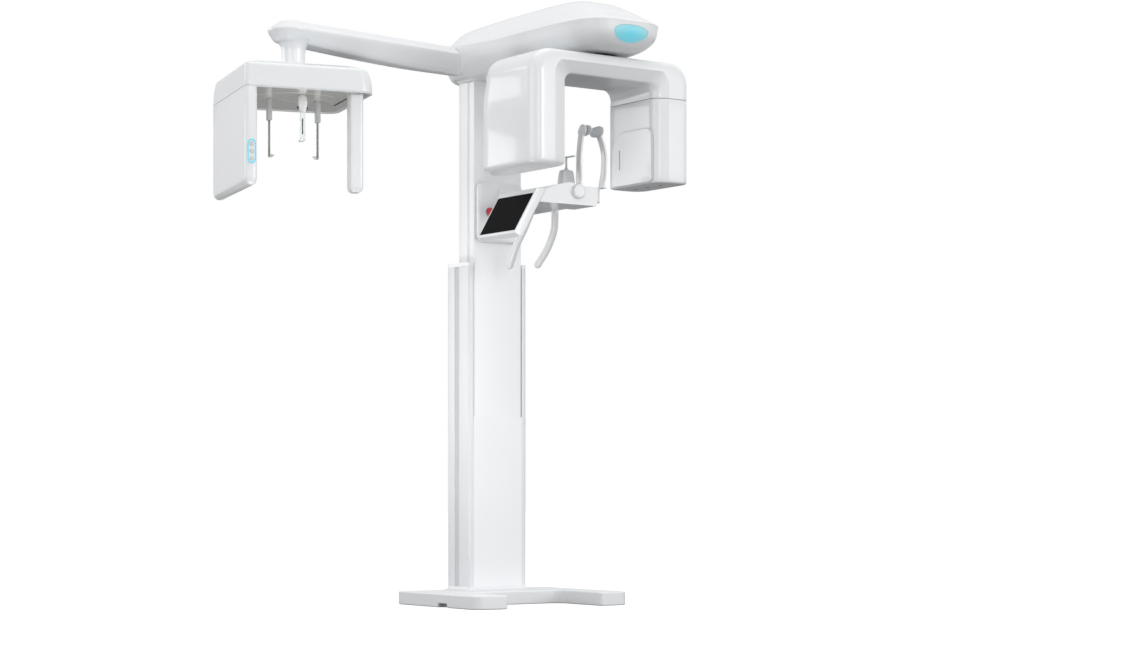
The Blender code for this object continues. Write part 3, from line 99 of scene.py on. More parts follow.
# ------------------------------------------------------------------ finishes
def linear(code: str) -> tuple[float, float, float, float]:
    """Turn an sRGB hex colour into linear light.

    Args:
        code: six hex digits, with or without a leading hash.

    Returns:
        Red, green, blue and an alpha of one.
    """
    digits = code.lstrip("#")
    values = [int(digits[i:i + 2], 16) / 255 for i in (0, 2, 4)]
    red, green, blue = [v / 12.92 if v <= 0.04045 else ((v + 0.055) / 1.055) ** 2.4 for v in values]
    return red, green, blue, 1.0


def add_node(tree: bpy.types.NodeTree, kind: str, values: dict[Any, Any] | None = None,
             links: dict[Any, bpy.types.NodeSocket] | None = None, **settings: Any) -> bpy.types.Node:
    """Add one shader node with its settings, socket values and incoming links.

    Args:
        tree: the node tree that takes the node.
        kind: the node's type name.
        values: socket name or number to its constant.
        links: socket name or number to the output that feeds it.
        **settings: properties of the node itself.

    Returns:
        The new node.
    """
    node = tree.nodes.new(kind)
    for key, value in settings.items():
        setattr(node, key, value)
    for key, value in (values or {}).items():
        node.inputs[key].default_value = value
    for key, source in (links or {}).items():
        tree.links.new(source, node.inputs[key])
    return node


@dataclass(frozen=True)
class Finish:
    """A moulded or painted surface: faint mottle in its colour, faint waviness in its gloss."""

    name: str
    slot: str
    colour: str
    shade: str                  # colour of the mottle's dark side
    roughness: float
    ior: float = 1.5
    metallic: float = 0.0
    coat: float = 0.0
    coat_roughness: float = 0.05
    mottle_mm: float = 180.0    # size of the broad tone variation
    grain_mm: float = 1.6       # size of the surface's fine relief
    grain_height: float = 0.02  # strength of that relief
    gloss_spread: float = 0.04  # how far roughness varies
    specular: float = 0.5       # mirror level; less than a half for anti-glare surfaces

    def material(self) -> bpy.types.Material:
        """Make the material, or fetch it if it is already made.

        Returns:
            The material.
        """
        made = bpy.data.materials.get(self.name)
        if made:
            return made
        made = bpy.data.materials.new(self.name)
        made.use_nodes = True
        made.node_tree.nodes.clear()
        self.shade_tree(made.node_tree)
        return made

    def shade_tree(self, tree: bpy.types.NodeTree) -> bpy.types.Node:
        """Fill the tree and return its Principled node.

        Args:
            tree: the material's empty node tree.

        Returns:
            The Principled node, already wired to the output.
        """
        place = add_node(tree, "ShaderNodeTexCoord")
        spot = place.outputs["Object"]
        mottle = add_node(tree, "ShaderNodeTexNoise", {"Scale": 1 / (self.mottle_mm * MM), "Detail": 2.0},
                          {"Vector": spot})
        colour = add_node(tree, "ShaderNodeMix", {6: linear(self.colour), 7: linear(self.shade)},
                          {0: mottle.outputs[0]}, data_type="RGBA")
        grain = add_node(tree, "ShaderNodeTexNoise", {"Scale": 1 / (self.grain_mm * MM), "Detail": 3.0},
                         {"Vector": spot})
        gloss = add_node(tree, "ShaderNodeMapRange",
                         {"To Min": max(self.roughness - self.gloss_spread, 0.02),
                          "To Max": self.roughness + self.gloss_spread},
                         {"Value": mottle.outputs[0]})
        relief = add_node(tree, "ShaderNodeBump",
                          {"Strength": self.grain_height, "Distance": self.grain_mm * MM * 0.25},
                          {"Height": grain.outputs[0]})
        shader = add_node(tree, "ShaderNodeBsdfPrincipled",
                          {"Metallic": self.metallic, "IOR": self.ior, "Coat Weight": self.coat,
                           "Coat Roughness": self.coat_roughness, "Specular IOR Level": self.specular},
                          {"Base Color": colour.outputs[2], "Roughness": gloss.outputs[0],
                           "Normal": relief.outputs[0]})
        add_node(tree, "ShaderNodeOutputMaterial", links={"Surface": shader.outputs[0]})
        return shader


@dataclass(frozen=True)
class TurnedMetal(Finish):
    """Bare metal with fine parallel tool marks, one every grain_mm along Z."""

    metallic: float = 1.0
    grain_mm: float = 0.9
    grain_height: float = 0.12

    def shade_tree(self, tree: bpy.types.NodeTree) -> bpy.types.Node:
        """Add tool marks across the height to the plain tree.

        Args:
            tree: the material's empty node tree.

        Returns:
            The Principled node.
        """
        shader = super().shade_tree(tree)
        place = add_node(tree, "ShaderNodeTexCoord")
        stretch = add_node(tree, "ShaderNodeMapping", {"Scale": (20.0, 20.0, 1 / (self.grain_mm * MM))},
                           {"Vector": place.outputs["Object"]})
        marks = add_node(tree, "ShaderNodeTexNoise", {"Scale": 1.0, "Detail": 1.0},
                         {"Vector": stretch.outputs[0]})
        relief = add_node(tree, "ShaderNodeBump", {"Strength": self.grain_height, "Distance": 0.0002},
                          {"Height": marks.outputs[0]})
        tree.links.new(relief.outputs[0], shader.inputs["Normal"])
        return shader


@dataclass(frozen=True)
class LitLens(Finish):
    """A translucent ribbed window lit from behind, brightest in the middle."""

    centre: Spot = (0.0, 0.0, 0.0)
    reach: Spot = (0.08, 0.05, 0.04)
    glow: str = "#3fdcf2"
    edge: str = "#a9dfe8"
    rib_mm: float = 7.5
    strength: float = 1.0

    def shade_tree(self, tree: bpy.types.NodeTree) -> bpy.types.Node:
        """Wire a radial glow crossed by slanting ribs.

        Args:
            tree: the material's empty node tree.

        Returns:
            The Principled node.
        """
        shader = super().shade_tree(tree)
        place = add_node(tree, "ShaderNodeTexCoord")
        spread = add_node(tree, "ShaderNodeMapping",
                          {"Location": tuple(-c / r for c, r in zip(self.centre, self.reach)),
                           "Scale": tuple(1 / r for r in self.reach)},
                          {"Vector": place.outputs["Object"]})
        ball = add_node(tree, "ShaderNodeTexGradient", links={"Vector": spread.outputs[0]},
                        gradient_type="SPHERICAL")
        slant = add_node(tree, "ShaderNodeMapping", {"Rotation": (0.0, math.radians(52), 0.0)},
                         {"Vector": place.outputs["Object"]})
        ribs = add_node(tree, "ShaderNodeTexWave", {"Scale": 1 / (self.rib_mm * MM * 3.2)},
                        {"Vector": slant.outputs[0]}, bands_direction="X", wave_profile="SIN")
        glow = add_node(tree, "ShaderNodeMix", {6: linear(self.edge), 7: linear(self.glow)},
                        {0: ball.outputs[1]}, data_type="RGBA")
        ribbed = add_node(tree, "ShaderNodeMapRange", {"To Min": 0.62, "To Max": 1.12},
                          {"Value": ribs.outputs[1]})
        lit = add_node(tree, "ShaderNodeVectorMath", links={0: glow.outputs[2], 1: ribbed.outputs[0]},
                       operation="MULTIPLY")
        tree.links.new(lit.outputs[0], shader.inputs["Emission Color"])
        shader.inputs["Emission Strength"].default_value = self.strength
        return shader


@dataclass(frozen=True)
class ClearMoulding(Finish):
    """Clear moulded plastic that lets most light through."""

    clearness: float = 0.85

    def shade_tree(self, tree: bpy.types.NodeTree) -> bpy.types.Node:
        """Add transmission to the plain tree.

        Args:
            tree: the material's empty node tree.

        Returns:
            The Principled node.
        """
        shader = super().shade_tree(tree)
        shader.inputs["Transmission Weight"].default_value = self.clearness
        return shader


# Lacquered ABS mouldings: clean cool white with a clear coat that carries the soft lamp streaks.
LACQUERED_ABS = Finish("lacquered_abs", "white_gloss_shell", "#ebeced", "#e6e8e9", 0.30,
                       coat=0.6, coat_roughness=0.08, grain_mm=4.0, grain_height=0.012)
# The same lacquer where the hull's steep curves would catch every lamp: thinner and softer.
HULL_LACQUER = replace(LACQUERED_ABS, name="lacquered_hull", roughness=0.42, coat=0.12,
                       coat_roughness=0.25)
# The same lacquer on cast aluminium.
LACQUERED_CASTING = replace(LACQUERED_ABS, name="lacquered_casting", slot="neck_casting")
# Powder coat on extruded aluminium: a little duller, with the fine orange peel of sprayed powder.
COLUMN_POWDER = Finish("powder_coated_extrusion", "column_powder_coat", "#f2f3f4", "#eef0f1", 0.36,
                       coat=0.3, coat_roughness=0.15, grain_mm=2.2, grain_height=0.03)
# The same powder coat on the fixed column's extrusion, painted a shade greyer than its cover: painted shade
# that stands in for the dimmer light on the column's sides.
COLUMN_BODY_PAINTED_SHADE = replace(COLUMN_POWDER, name="powder_coated_column_painted_shade", colour="#e3e4e6",
                      shade="#dfe0e2")
# Powder coat over cast iron: coarser peel, since the casting under it is rougher.
IRON_POWDER = Finish("powder_coated_iron", "iron_powder_coat", "#f1f2f3", "#eceeef", 0.34,
                     coat=0.35, coat_roughness=0.12, grain_mm=3.5, grain_height=0.05)
# Extruded grey inlay in the column's side groove.
GREY_INLAY = Finish("grey_extruded_inlay", "grey_trim", "#cbcccd", "#c4c5c7", 0.42,
                    grain_mm=1.0, grain_height=0.03)
# Dark grey moulded housings of the parts inside the shells; the same dark grey also fills the detector leg's
# seam gap as painted shade.
DARK_MOULDING_AND_SEAM_SHADE = Finish("dark_moulded_abs_and_seam_shade", "grey_trim", "#6f7173", "#636567", 0.50,
                       grain_mm=1.2, grain_height=0.10)
# Light grey moulded ABS of sleeves, keys and rests, with a spark-eroded satin skin.
GREY_ABS = Finish("satin_grey_abs", "light_grey_plastic", "#d2d3d4", "#cccdce", 0.42,
                  grain_mm=0.8, grain_height=0.06)
# Soft silicone pads against the patient's skin.
SILICONE = Finish("silicone_pad", "light_grey_plastic", "#d6d8d9", "#cfd1d2", 0.55, 1.42,
                  grain_mm=0.6, grain_height=0.10)
# Warm grey high-gloss sheet that closes the housing from below.
GLOSS_SHEET = Finish("gloss_grey_sheet", "pale_underside", "#f2f2ea", "#eeeee6", 0.10, 1.52,
                     coat=1.0, coat_roughness=0.02, grain_mm=30.0, grain_height=0.01)
# Toughened screen glass over a black mask, with an anti-glare coating that kills most reflections.
SCREEN_GLASS = Finish("toughened_screen_glass", "black_glass", "#0a0a0b", "#0c0c0d", 0.34,
                      mottle_mm=60.0, grain_mm=20.0, grain_height=0.004, gloss_spread=0.03, specular=0.02)
# Black anodised ring in the gap over the rotor: reads as a dark line.
BLACK_ANODISE = Finish("black_anodised_ring", "machined_aluminium", "#050506", "#08080a", 0.80,
                       grain_mm=0.8, grain_height=0.08, specular=0.08)
# Dark screw heads, knobs and strips, and a dark fill in slots that is painted shade for the shadow inside
# them.
DARK_INSERT_AND_SLOT_SHADE = Finish("dark_nylon_insert_and_slot_shade", "grey_trim", "#4a4b4d", "#424345", 0.50,
                     grain_mm=0.8, grain_height=0.08)
# Signal red moulded button.
SIGNAL_RED = Finish("signal_red_abs", "red_button", "#d3161f", "#c3121b", 0.28,
                    coat=0.5, grain_mm=1.5, grain_height=0.02)
# Machined steel and aluminium of the works inside.
BRIGHT_STEEL = TurnedMetal("machined_steel", "machined_steel", "#a9abae", "#9b9da1", 0.32)
BRIGHT_ALUMINIUM = TurnedMetal("machined_aluminium", "machined_aluminium", "#c9cbce", "#bfc1c5", 0.36)
# Clear acrylic blade and rods: edges read dark, faces nearly vanish.
CLEAR_ACRYLIC = ClearMoulding("clear_acrylic", "clear_plastic", "#f2f5f6", "#eef2f4", 0.06, 1.49,
                              grain_mm=5.0, grain_height=0.01)


# ------------------------------------------------------------------ outlines
def clamp(value: float) -> float:
    """Hold a value between nought and one."""
    return min(max(value, 0.0), 1.0)


def quarter(steps: int) -> list[float]:
    """Angles from nought to a right angle, both included."""
    return [math.pi / 2 * k / steps for k in range(steps + 1)]


def middle(name: str) -> Spot:
    """The middle of a node's box in the frame."""
    return tuple((low + high) / 2 for low, high in zip(*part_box(name)))


def rectangle(low: Flat, high: Flat) -> list[Flat]:
    """A rectangle's corners, from the lowest one round."""
    return [(low[0], low[1]), (high[0], low[1]), (high[0], high[1]), (low[0], high[1])]


def mirrored(half: list[Flat]) -> list[Flat]:
    """Close an outline with its mirror image across x = 0."""
    return half + [(-x, y) for x, y in reversed(half)]


def mix(first: Level, last: Level, share: float) -> Level:
    """Values a share of the way from the first set to the last."""
    return tuple(a + (b - a) * share for a, b in zip(first, last))


def fillet(corners: list[Flat], radii: float | list[float], steps: int = 10) -> list[Flat]:
    """Round the corners of a closed outline.

    Args:
        corners: the outline's corners in order.
        radii: one radius, or one per corner; zero keeps the corner.
        steps: straight pieces per rounded corner.

    Returns:
        The rounded outline.
    """
    each = [radii] * len(corners) if isinstance(radii, (int, float)) else radii
    out: list[Flat] = []
    for i, (corner, radius) in enumerate(zip(corners, each)):
        here = Vector(corner)
        back = Vector(corners[i - 1]) - here
        fore = Vector(corners[(i + 1) % len(corners)]) - here
        if radius <= 0:
            out.append((here.x, here.y))
            continue
        half = back.angle(fore) / 2
        reach = min(radius / math.tan(half), back.length * 0.498, fore.length * 0.498)
        radius = reach * math.tan(half)
        back.normalize()
        fore.normalize()
        centre = here + (back + fore).normalized() * (radius / math.sin(half))
        first = here + back * reach - centre
        last = here + fore * reach - centre
        start = math.atan2(first.y, first.x)
        turn = (math.atan2(last.y, last.x) - start + math.pi) % (2 * math.pi) - math.pi
        for k in range(steps + 1):
            angle = start + turn * k / steps
            out.append((centre.x + radius * math.cos(angle), centre.y + radius * math.sin(angle)))
    return out


def curve_through(points: list[tuple[float, ...]], count: int) -> list[tuple[float, ...]]:
    """Spread points evenly along a smooth line through the given ones.

    Args:
        points: knots of any dimension.
        count: how many points come back.

    Returns:
        Points along the Catmull-Rom line.
    """
    knots = [[2 * a - b for a, b in zip(points[0], points[1])]] + [list(p) for p in points]
    knots.append([2 * a - b for a, b in zip(points[-1], points[-2])])
    spans = len(points) - 1
    out = []
    for i in range(count):
        whole = i / (count - 1) * spans
        k = min(int(whole), spans - 1)
        t = whole - k
        out.append(tuple(0.5 * (2 * b + (c - a) * t + (2 * a - 5 * b + 4 * c - d) * t ** 2
                                + (3 * b - a - 3 * c + d) * t ** 3)
                         for a, b, c, d in zip(*knots[k:k + 4])))
    return out


def oval(centre: Flat, half: Flat, count: int = 48, power: float = 1.0) -> list[Flat]:
    """A closed oval; power below one squares it.

    Args:
        centre: the middle.
        half: its two half lengths.
        count: number of points.
        power: exponent on sine and cosine.

    Returns:
        The outline's points.
    """
    out = []
    for k in range(count):
        angle = 2 * math.pi * k / count
        c, s = math.cos(angle), math.sin(angle)
        out.append((centre[0] + half[0] * math.copysign(abs(c) ** power, c),
                    centre[1] + half[1] * math.copysign(abs(s) ** power, s)))
    return out


# ------------------------------------------------------------------ solids
def solid(name: str, build: Callable[[bmesh.types.BMesh], None], sharp: float = 34.0) -> Piece:
    """Make a piece from a mesh recipe, smooth but for its sharp edges.

    Args:
        name: the piece's name.
        build: fills an empty bmesh.
        sharp: edges that turn by more degrees than this stay crisp.

    Returns:
        The new object, linked to the scene.
    """
    shape = bmesh.new()
    build(shape)
    bmesh.ops.remove_doubles(shape, verts=shape.verts, dist=2e-6)
    bmesh.ops.recalc_face_normals(shape, faces=shape.faces)
    mesh = bpy.data.meshes.new(name)
    shape.to_mesh(mesh)
    shape.free()
    piece = bpy.data.objects.new(name, mesh)
    bpy.context.scene.collection.objects.link(piece)
    crisp(piece, sharp)
    return piece


def crisp(piece: Piece, sharp: float = 34.0) -> Piece:
    """Shade a piece smooth and mark the edges that stay crisp.

    Args:
        piece: the object.
        sharp: the least angle of a crisp edge, in degrees.

    Returns:
        The same object.
    """
    shape = bmesh.new()
    shape.from_mesh(piece.data)
    limit = math.radians(sharp)
    for face in shape.faces:
        face.smooth = True
    for edge in shape.edges:
        edge.smooth = len(edge.link_faces) != 2 or edge.calc_face_angle(0.0) < limit
    shape.to_mesh(piece.data)
    shape.free()
    return piece


def loft(name: str, rings: list[list[Spot]], closed: bool = True, sharp: float = 34.0) -> Piece:
    """A skin over rings with equal point counts.

    Args:
        name: the piece's name.
        rings: the rings from one end to the other.
        closed: whether both ends are filled.
        sharp: the least angle of a crisp edge.

    Returns:
        The new object.
    """
    def build(shape: bmesh.types.BMesh) -> None:
        """Skin neighbouring rings with quads."""
        loops = [[shape.verts.new(point) for point in ring] for ring in rings]
        count = len(loops[0])
        for lower, upper in zip(loops, loops[1:]):
            for i in range(count):
                j = (i + 1) % count
                shape.faces.new((lower[i], lower[j], upper[j], upper[i]))
        if closed:
            shape.faces.new(loops[0])
            shape.faces.new(loops[-1])

    return solid(name, build, sharp)


def spread(outline: list[Flat], across: float, plane: Plane = Plane.XY) -> list[Spot]:
    """Stand an outline in its plane.

    Args:
        outline: the flat points.
        across: the coordinate along the plane's normal.
        plane: the plane.

    Returns:
        Points in space.
    """
    if plane is Plane.XY:
        return [(a, b, across) for a, b in outline]
    if plane is Plane.XZ:
        return [(a, across, b) for a, b in outline]
    return [(across, a, b) for a, b in outline]


def prism(name: str, outline: list[Flat], low: float, high: float,
          plane: Plane = Plane.XY) -> Piece:
    """Extrude an outline from low to high along its plane's normal.

    Args:
        name: the piece's name.
        outline: the flat points.
        low: where it starts.
        high: where it ends.
        plane: the outline's plane.

    Returns:
        The new object.
    """
    return loft(name, [spread(outline, low, plane), spread(outline, high, plane)])


def block(name: str, low: Spot, high: Spot) -> Piece:
    """A rectangular bar between two corners, as a start for cuts and edge rounding.

    Args:
        name: the piece's name.
        low: lowest corner.
        high: highest corner.

    Returns:
        The new object.
    """
    return prism(name, rectangle((low[0], low[1]), (high[0], high[1])), low[2], high[2])


def turned(name: str, profile: list[Flat], sides: int = 64, sharp: float = 34.0) -> Piece:
    """Turn a profile of (radius, height) pairs about Z.

    Args:
        name: the piece's name.
        profile: pairs from one end to the other; a profile off the axis closes on itself.
        sides: flats round the axis.
        sharp: the least angle of a crisp edge.

    Returns:
        The new object, standing on the origin.
    """
    rings = []
    for radius, height in profile:
        rings.append([(radius * math.cos(2 * math.pi * k / sides),
                       radius * math.sin(2 * math.pi * k / sides), height) for k in range(sides)])
    ring_shaped = profile[0][0] > 1e-6 and profile[-1][0] > 1e-6
    if ring_shaped:
        rings.append(rings[0])

    def build(shape: bmesh.types.BMesh) -> None:
        """Skin the rings, leaving out faces that shrink to the axis."""
        loops = []
        for (radius, height), ring in zip(profile + profile[:1], rings):
            if radius < 1e-6:
                loops.append([shape.verts.new((0.0, 0.0, height))] * sides)
            else:
                loops.append([shape.verts.new(point) for point in ring])
        for lower, upper in zip(loops, loops[1:]):
            for i in range(sides):
                j = (i + 1) % sides
                corners = list(dict.fromkeys((lower[i], lower[j], upper[j], upper[i])))
                if len(corners) > 2:
                    shape.faces.new(corners)

    return solid(name, build, sharp)


def tube(name: str, path: list[Spot], radii: list[float] | float, sides: int = 28,
         squash: float = 1.0, wide: Spot = (0.0, 1.0, 0.0), square: float = 1.0) -> Piece:
    """A bar with rounded ends along a path.

    Args:
        name: the piece's name.
        path: points along the middle.
        radii: one radius or one per point.
        sides: flats round the bar.
        squash: thickness across wide, as a share of the width.
        wide: direction of the bar's width.
        square: power of the section's sine and cosine: 1 is round, less is squarer.

    Returns:
        The new object.
    """
    each = [radii] * len(path) if isinstance(radii, (int, float)) else radii
    spots = [Vector(p) for p in path]
    ahead = (spots[1] - spots[0]).normalized()
    behind = (spots[-1] - spots[-2]).normalized()
    cap = 6
    stations = [(spots[0] - ahead * each[0] * squash * math.cos(t), ahead, each[0] * math.sin(t))
                for t in (math.pi / 2 * k / cap for k in range(cap))]
    for i, spot in enumerate(spots):
        along = (spots[min(i + 1, len(spots) - 1)] - spots[max(i - 1, 0)]).normalized()
        stations.append((spot, along, each[i]))
    stations += [(spots[-1] + behind * each[-1] * squash * math.sin(t), behind, each[-1] * math.cos(t))
                 for t in (math.pi / 2 * (k + 1) / cap for k in range(cap))]
    rings = []
    for spot, along, radius in stations:
        side = Vector(wide) - along * along.dot(Vector(wide))
        side.normalize()
        thin = along.cross(side)
        rings.append([tuple(spot + side * radius * across + thin * radius * squash * through)
                      for across, through in oval((0.0, 0.0), (1.0, 1.0), sides, square)])
    return loft(name, rings, sharp=50.0)


def combine(target: Piece, tool: Piece, how: Join = Join.CUT,
            keep: bool = False) -> Piece:
    """Combine a piece with a tool solid and drop the tool.

    Args:
        target: the piece that changes.
        tool: the other solid.
        how: cut, meet or weld.
        keep: leave the tool for another use.

    Returns:
        The changed piece.
    """
    step = target.modifiers.new("combine", "BOOLEAN")
    step.object = tool
    step.operation = how.value
    step.solver = "EXACT"
    bake(target)
    if not keep:
        bpy.data.objects.remove(tool, do_unlink=True)
    return crisp(target)


def bake(piece: Piece) -> Piece:
    """Apply a piece's modifiers to its mesh.

    Args:
        piece: the object.

    Returns:
        The same object.
    """
    bpy.context.view_layer.update()
    graph = bpy.context.evaluated_depsgraph_get()
    mesh = bpy.data.meshes.new_from_object(piece.evaluated_get(graph))
    piece.modifiers.clear()
    piece.data = mesh
    mesh.name = piece.name
    return piece


def soften(piece: Piece, radius: float, segments: int = 4, angle: float = 40.0,
           even: bool = True) -> Piece:
    """Round a piece's sharp edges and even out the shading of its flats.

    Args:
        piece: the object.
        radius: width of the rounding.
        segments: strips across the rounding.
        angle: the least angle of an edge that is rounded, in degrees.
        even: whether shading follows the larger faces.

    Returns:
        The same object.
    """
    for edge in piece.data.edges:
        edge.use_edge_sharp = False
    step = piece.modifiers.new("edge_rounding", "BEVEL")
    step.width = radius
    step.segments = segments
    step.limit_method = "ANGLE"
    step.angle_limit = math.radians(angle)
    step.use_clamp_overlap = True
    step.miter_outer = "MITER_ARC"
    if even:
        level = piece.modifiers.new("even_shading", "WEIGHTED_NORMAL")
        level.keep_sharp = True
        level.weight = 60
    return piece


def moved(piece: Piece, matrix: Matrix) -> Piece:
    """Move a piece's mesh and return the piece."""
    piece.data.transform(matrix)
    return piece


def facing(direction: Spot, at: Spot) -> Matrix:
    """A placement that turns Z towards a direction and moves the origin to a place."""
    turn = Vector((0, 0, 1)).rotation_difference(Vector(direction)).to_matrix().to_4x4()
    return Matrix.Translation(at) @ turn


def facing_front(piece: Piece, at: Spot) -> Piece:
    """Turn a piece's Z to the front and move its origin to a place."""
    return moved(piece, facing(FRONT, at))


def plug(radius: float, low: float, high: float, sides: int = 64) -> Piece:
    """A round bar about Z, as a tool for holes."""
    return turned("plug", [(0.0, high), (radius, high), (radius, low), (0.0, low)], sides)


def foot_levels(low: float, tall: float, deep: float) -> list[Flat]:
    """Heights and insets that round a lower end.

    Args:
        low: the lowest Z.
        tall: height of the rounding.
        deep: inset at the lowest Z.

    Returns:
        Pairs of height and inset, from the lowest up.
    """
    return [(low + tall * (1 - math.cos(turn)), deep * (1 - math.sin(turn))) for turn in quarter(12)]


@dataclass
class Assembly:
    """What every sub-assembly shares: keeping made pieces and dressing carried-over nodes."""

    made: list[str] = field(default_factory=list)

    def keep(self, piece: Piece, finish: Finish, body: Body,
             *stands_for: str) -> Piece:
        """Dress a piece, let it ride and name the solids it stands for.

        Args:
            piece: the finished object.
            finish: its surface.
            body: the rigid body that carries it.
            *stands_for: the frame's nodes it replaces.

        Returns:
            The same object.
        """
        piece.data.materials.clear()
        piece.data.materials.append(finish.material())
        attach(piece, body.value)
        if stands_for:
            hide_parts(*stands_for)
        self.made.append(piece.name)
        return piece

    def dress(self, finish: Finish, *names: str) -> None:
        """Give carried-over nodes a finish.

        Args:
            finish: the surface.
            *names: the frame's nodes.
        """
        for name in names:
            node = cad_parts[name]
            for place in node.material_slots:
                place.material = finish.material()
            self.made.append(name)


# ------------------------------------------------------------------ stand
@dataclass
class Stand(Assembly):
    """Base plate with two toes, flared plinth, column extrusion, cover, inlays and cap."""

    half_width: float = 0.366
    rear: float = 0.103
    toe: float = -0.487
    toe_width: float = 0.138
    throat: float = -0.205
    column_half: float = 0.1405
    column_front: float = -0.0905
    column_rear: float = 0.082
    wall: float = 0.010
    lip: float = 0.1185
    lip_depth: float = 0.006
    corner_front: float = 0.0105
    corner_rear: float = 0.020
    groove_y: float = 0.0025
    groove_width: float = 0.033
    groove_depth: float = 0.004

    def build(self) -> None:
        """Build and dress the whole stand."""
        self.base()
        self.plinth()
        self.column()
        self.cover_and_inlays()
        self.dress(BRIGHT_STEEL, "lift_actuator", "guide_rail")
        self.dress(DARK_MOULDING_AND_SEAM_SHADE, "power_unit")

    def base(self) -> None:
        """Cast plate whose two toes leave room for feet."""
        low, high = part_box("base_plate")
        inner = self.half_width - self.toe_width
        half = [(inner, self.throat), (inner - 0.006, self.toe - 0.016),
                (self.half_width + 0.006, self.toe), (self.half_width, self.rear)]
        radii = [0.05, 0.016, 0.045, 0.022]
        outline = fillet(mirrored(half), radii + radii[::-1], 12)
        plate = prism("base_casting", outline, low.z, high.z)
        notch = block("notch", (-self.half_width - 0.05, -0.280, -0.01),
                      (-self.half_width + 0.030, -0.214, 0.015))
        combine(plate, notch)
        self.keep(soften(plate, 0.005, 4, 50), IRON_POWDER, Body.STAND, "base_plate")

    def section(self, grow: float, steps: int = 10) -> list[Flat]:
        """The column's outer outline grown all round.

        Args:
            grow: distance outwards.
            steps: strips per corner.

        Returns:
            The outline.
        """
        half = self.column_half + grow
        right = [(half, self.column_front - grow), (half, self.column_rear + grow)]
        radii = [self.corner_front + grow, self.corner_rear + grow]
        return fillet(mirrored(right), radii + radii[::-1], steps)

    def plinth(self) -> None:
        """Moulding that sweeps from the base plate up to the column."""
        low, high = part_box("column_plinth")
        flare = -(low.x + self.column_half)
        rise = high.z - low.z
        rings = []
        for turn in quarter(12):
            grow = max(flare * (1 - math.sin(turn)), 0.0012)
            rings.append(spread(self.section(grow),
                                low.z + 0.001 + (rise - 0.001) * (1 - math.cos(turn))))
        rings.insert(0, spread(self.section(flare), low.z))
        inside = [spread(self.section(0.0002), z) for z in (high.z, low.z)]
        skin = loft("plinth_moulding", rings + inside + rings[:1], closed=False)
        self.keep(skin, LACQUERED_ABS, Body.STAND, "column_plinth")

    def profile(self) -> tuple[list[Flat], list[float]]:
        """Draw the open-fronted extrusion.

        Returns:
            Its corners and their radii.
        """
        low = self.groove_y - self.groove_width / 2
        high = low + self.groove_width
        sunk = self.column_half - self.groove_depth
        inner = self.column_half - self.wall
        right = [(self.lip, self.column_front), (self.column_half, self.column_front),
                 (self.column_half, low), (sunk, low), (sunk, high), (self.column_half, high),
                 (self.column_half, self.column_rear)]
        back = self.column_front + self.lip_depth
        inside = [(inner, self.column_rear - self.wall), (inner, back), (self.lip, back)]
        corners = mirrored(right) + [(-x, y) for x, y in reversed(inside)] + inside
        radii = [0.0008, self.corner_front, 0.0012, 0, 0, 0.0012, self.corner_rear]
        return corners, radii + radii[::-1] + [0.0] * 6

    def column(self) -> None:
        """Extruded lower column and its moulded cap."""
        low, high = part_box("lower_column")
        corners, radii = self.profile()
        body = prism("column_extrusion", fillet(corners, radii, 8), low.z, high.z)
        # The extrusion takes the greyer powder coat, which is painted shade for its sides.
        self.keep(body, COLUMN_BODY_PAINTED_SHADE, Body.STAND, "lower_column")
        cap_low, cap_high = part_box("lower_column_cap")
        inner = self.column_half - self.wall
        back = self.column_front + self.lip_depth
        right = [(self.lip, self.column_front), (self.column_half, self.column_front),
                 (self.column_half, self.column_rear)]
        left_inside = [(-self.lip, back), (-inner, back), (-inner, self.column_rear - self.wall)]
        radii = [0.001, self.corner_front, self.corner_rear]
        outline = fillet(mirrored(right) + mirrored(left_inside),
                         radii + radii[::-1] + [0.0] * 6, 8)
        cap = prism("column_cap", outline, cap_low.z, cap_high.z)
        self.keep(soften(cap, 0.004, 4, 50), LACQUERED_ABS, Body.STAND, "lower_column_cap")

    def cover_and_inlays(self) -> None:
        """Fixed front cover and the two grey inlays."""
        low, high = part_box("lower_front_cover")
        cover = block("front_cover", tuple(low), tuple(high))
        self.keep(soften(cover, 0.0008, 2), COLUMN_POWDER, Body.STAND, "lower_front_cover")
        for name in ("side_trim_left", "side_trim_right"):
            low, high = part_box(name)
            inlay = block(name + "_inlay", tuple(low), tuple(high))
            self.keep(soften(inlay, 0.0006, 2), GREY_INLAY, Body.STAND, name)


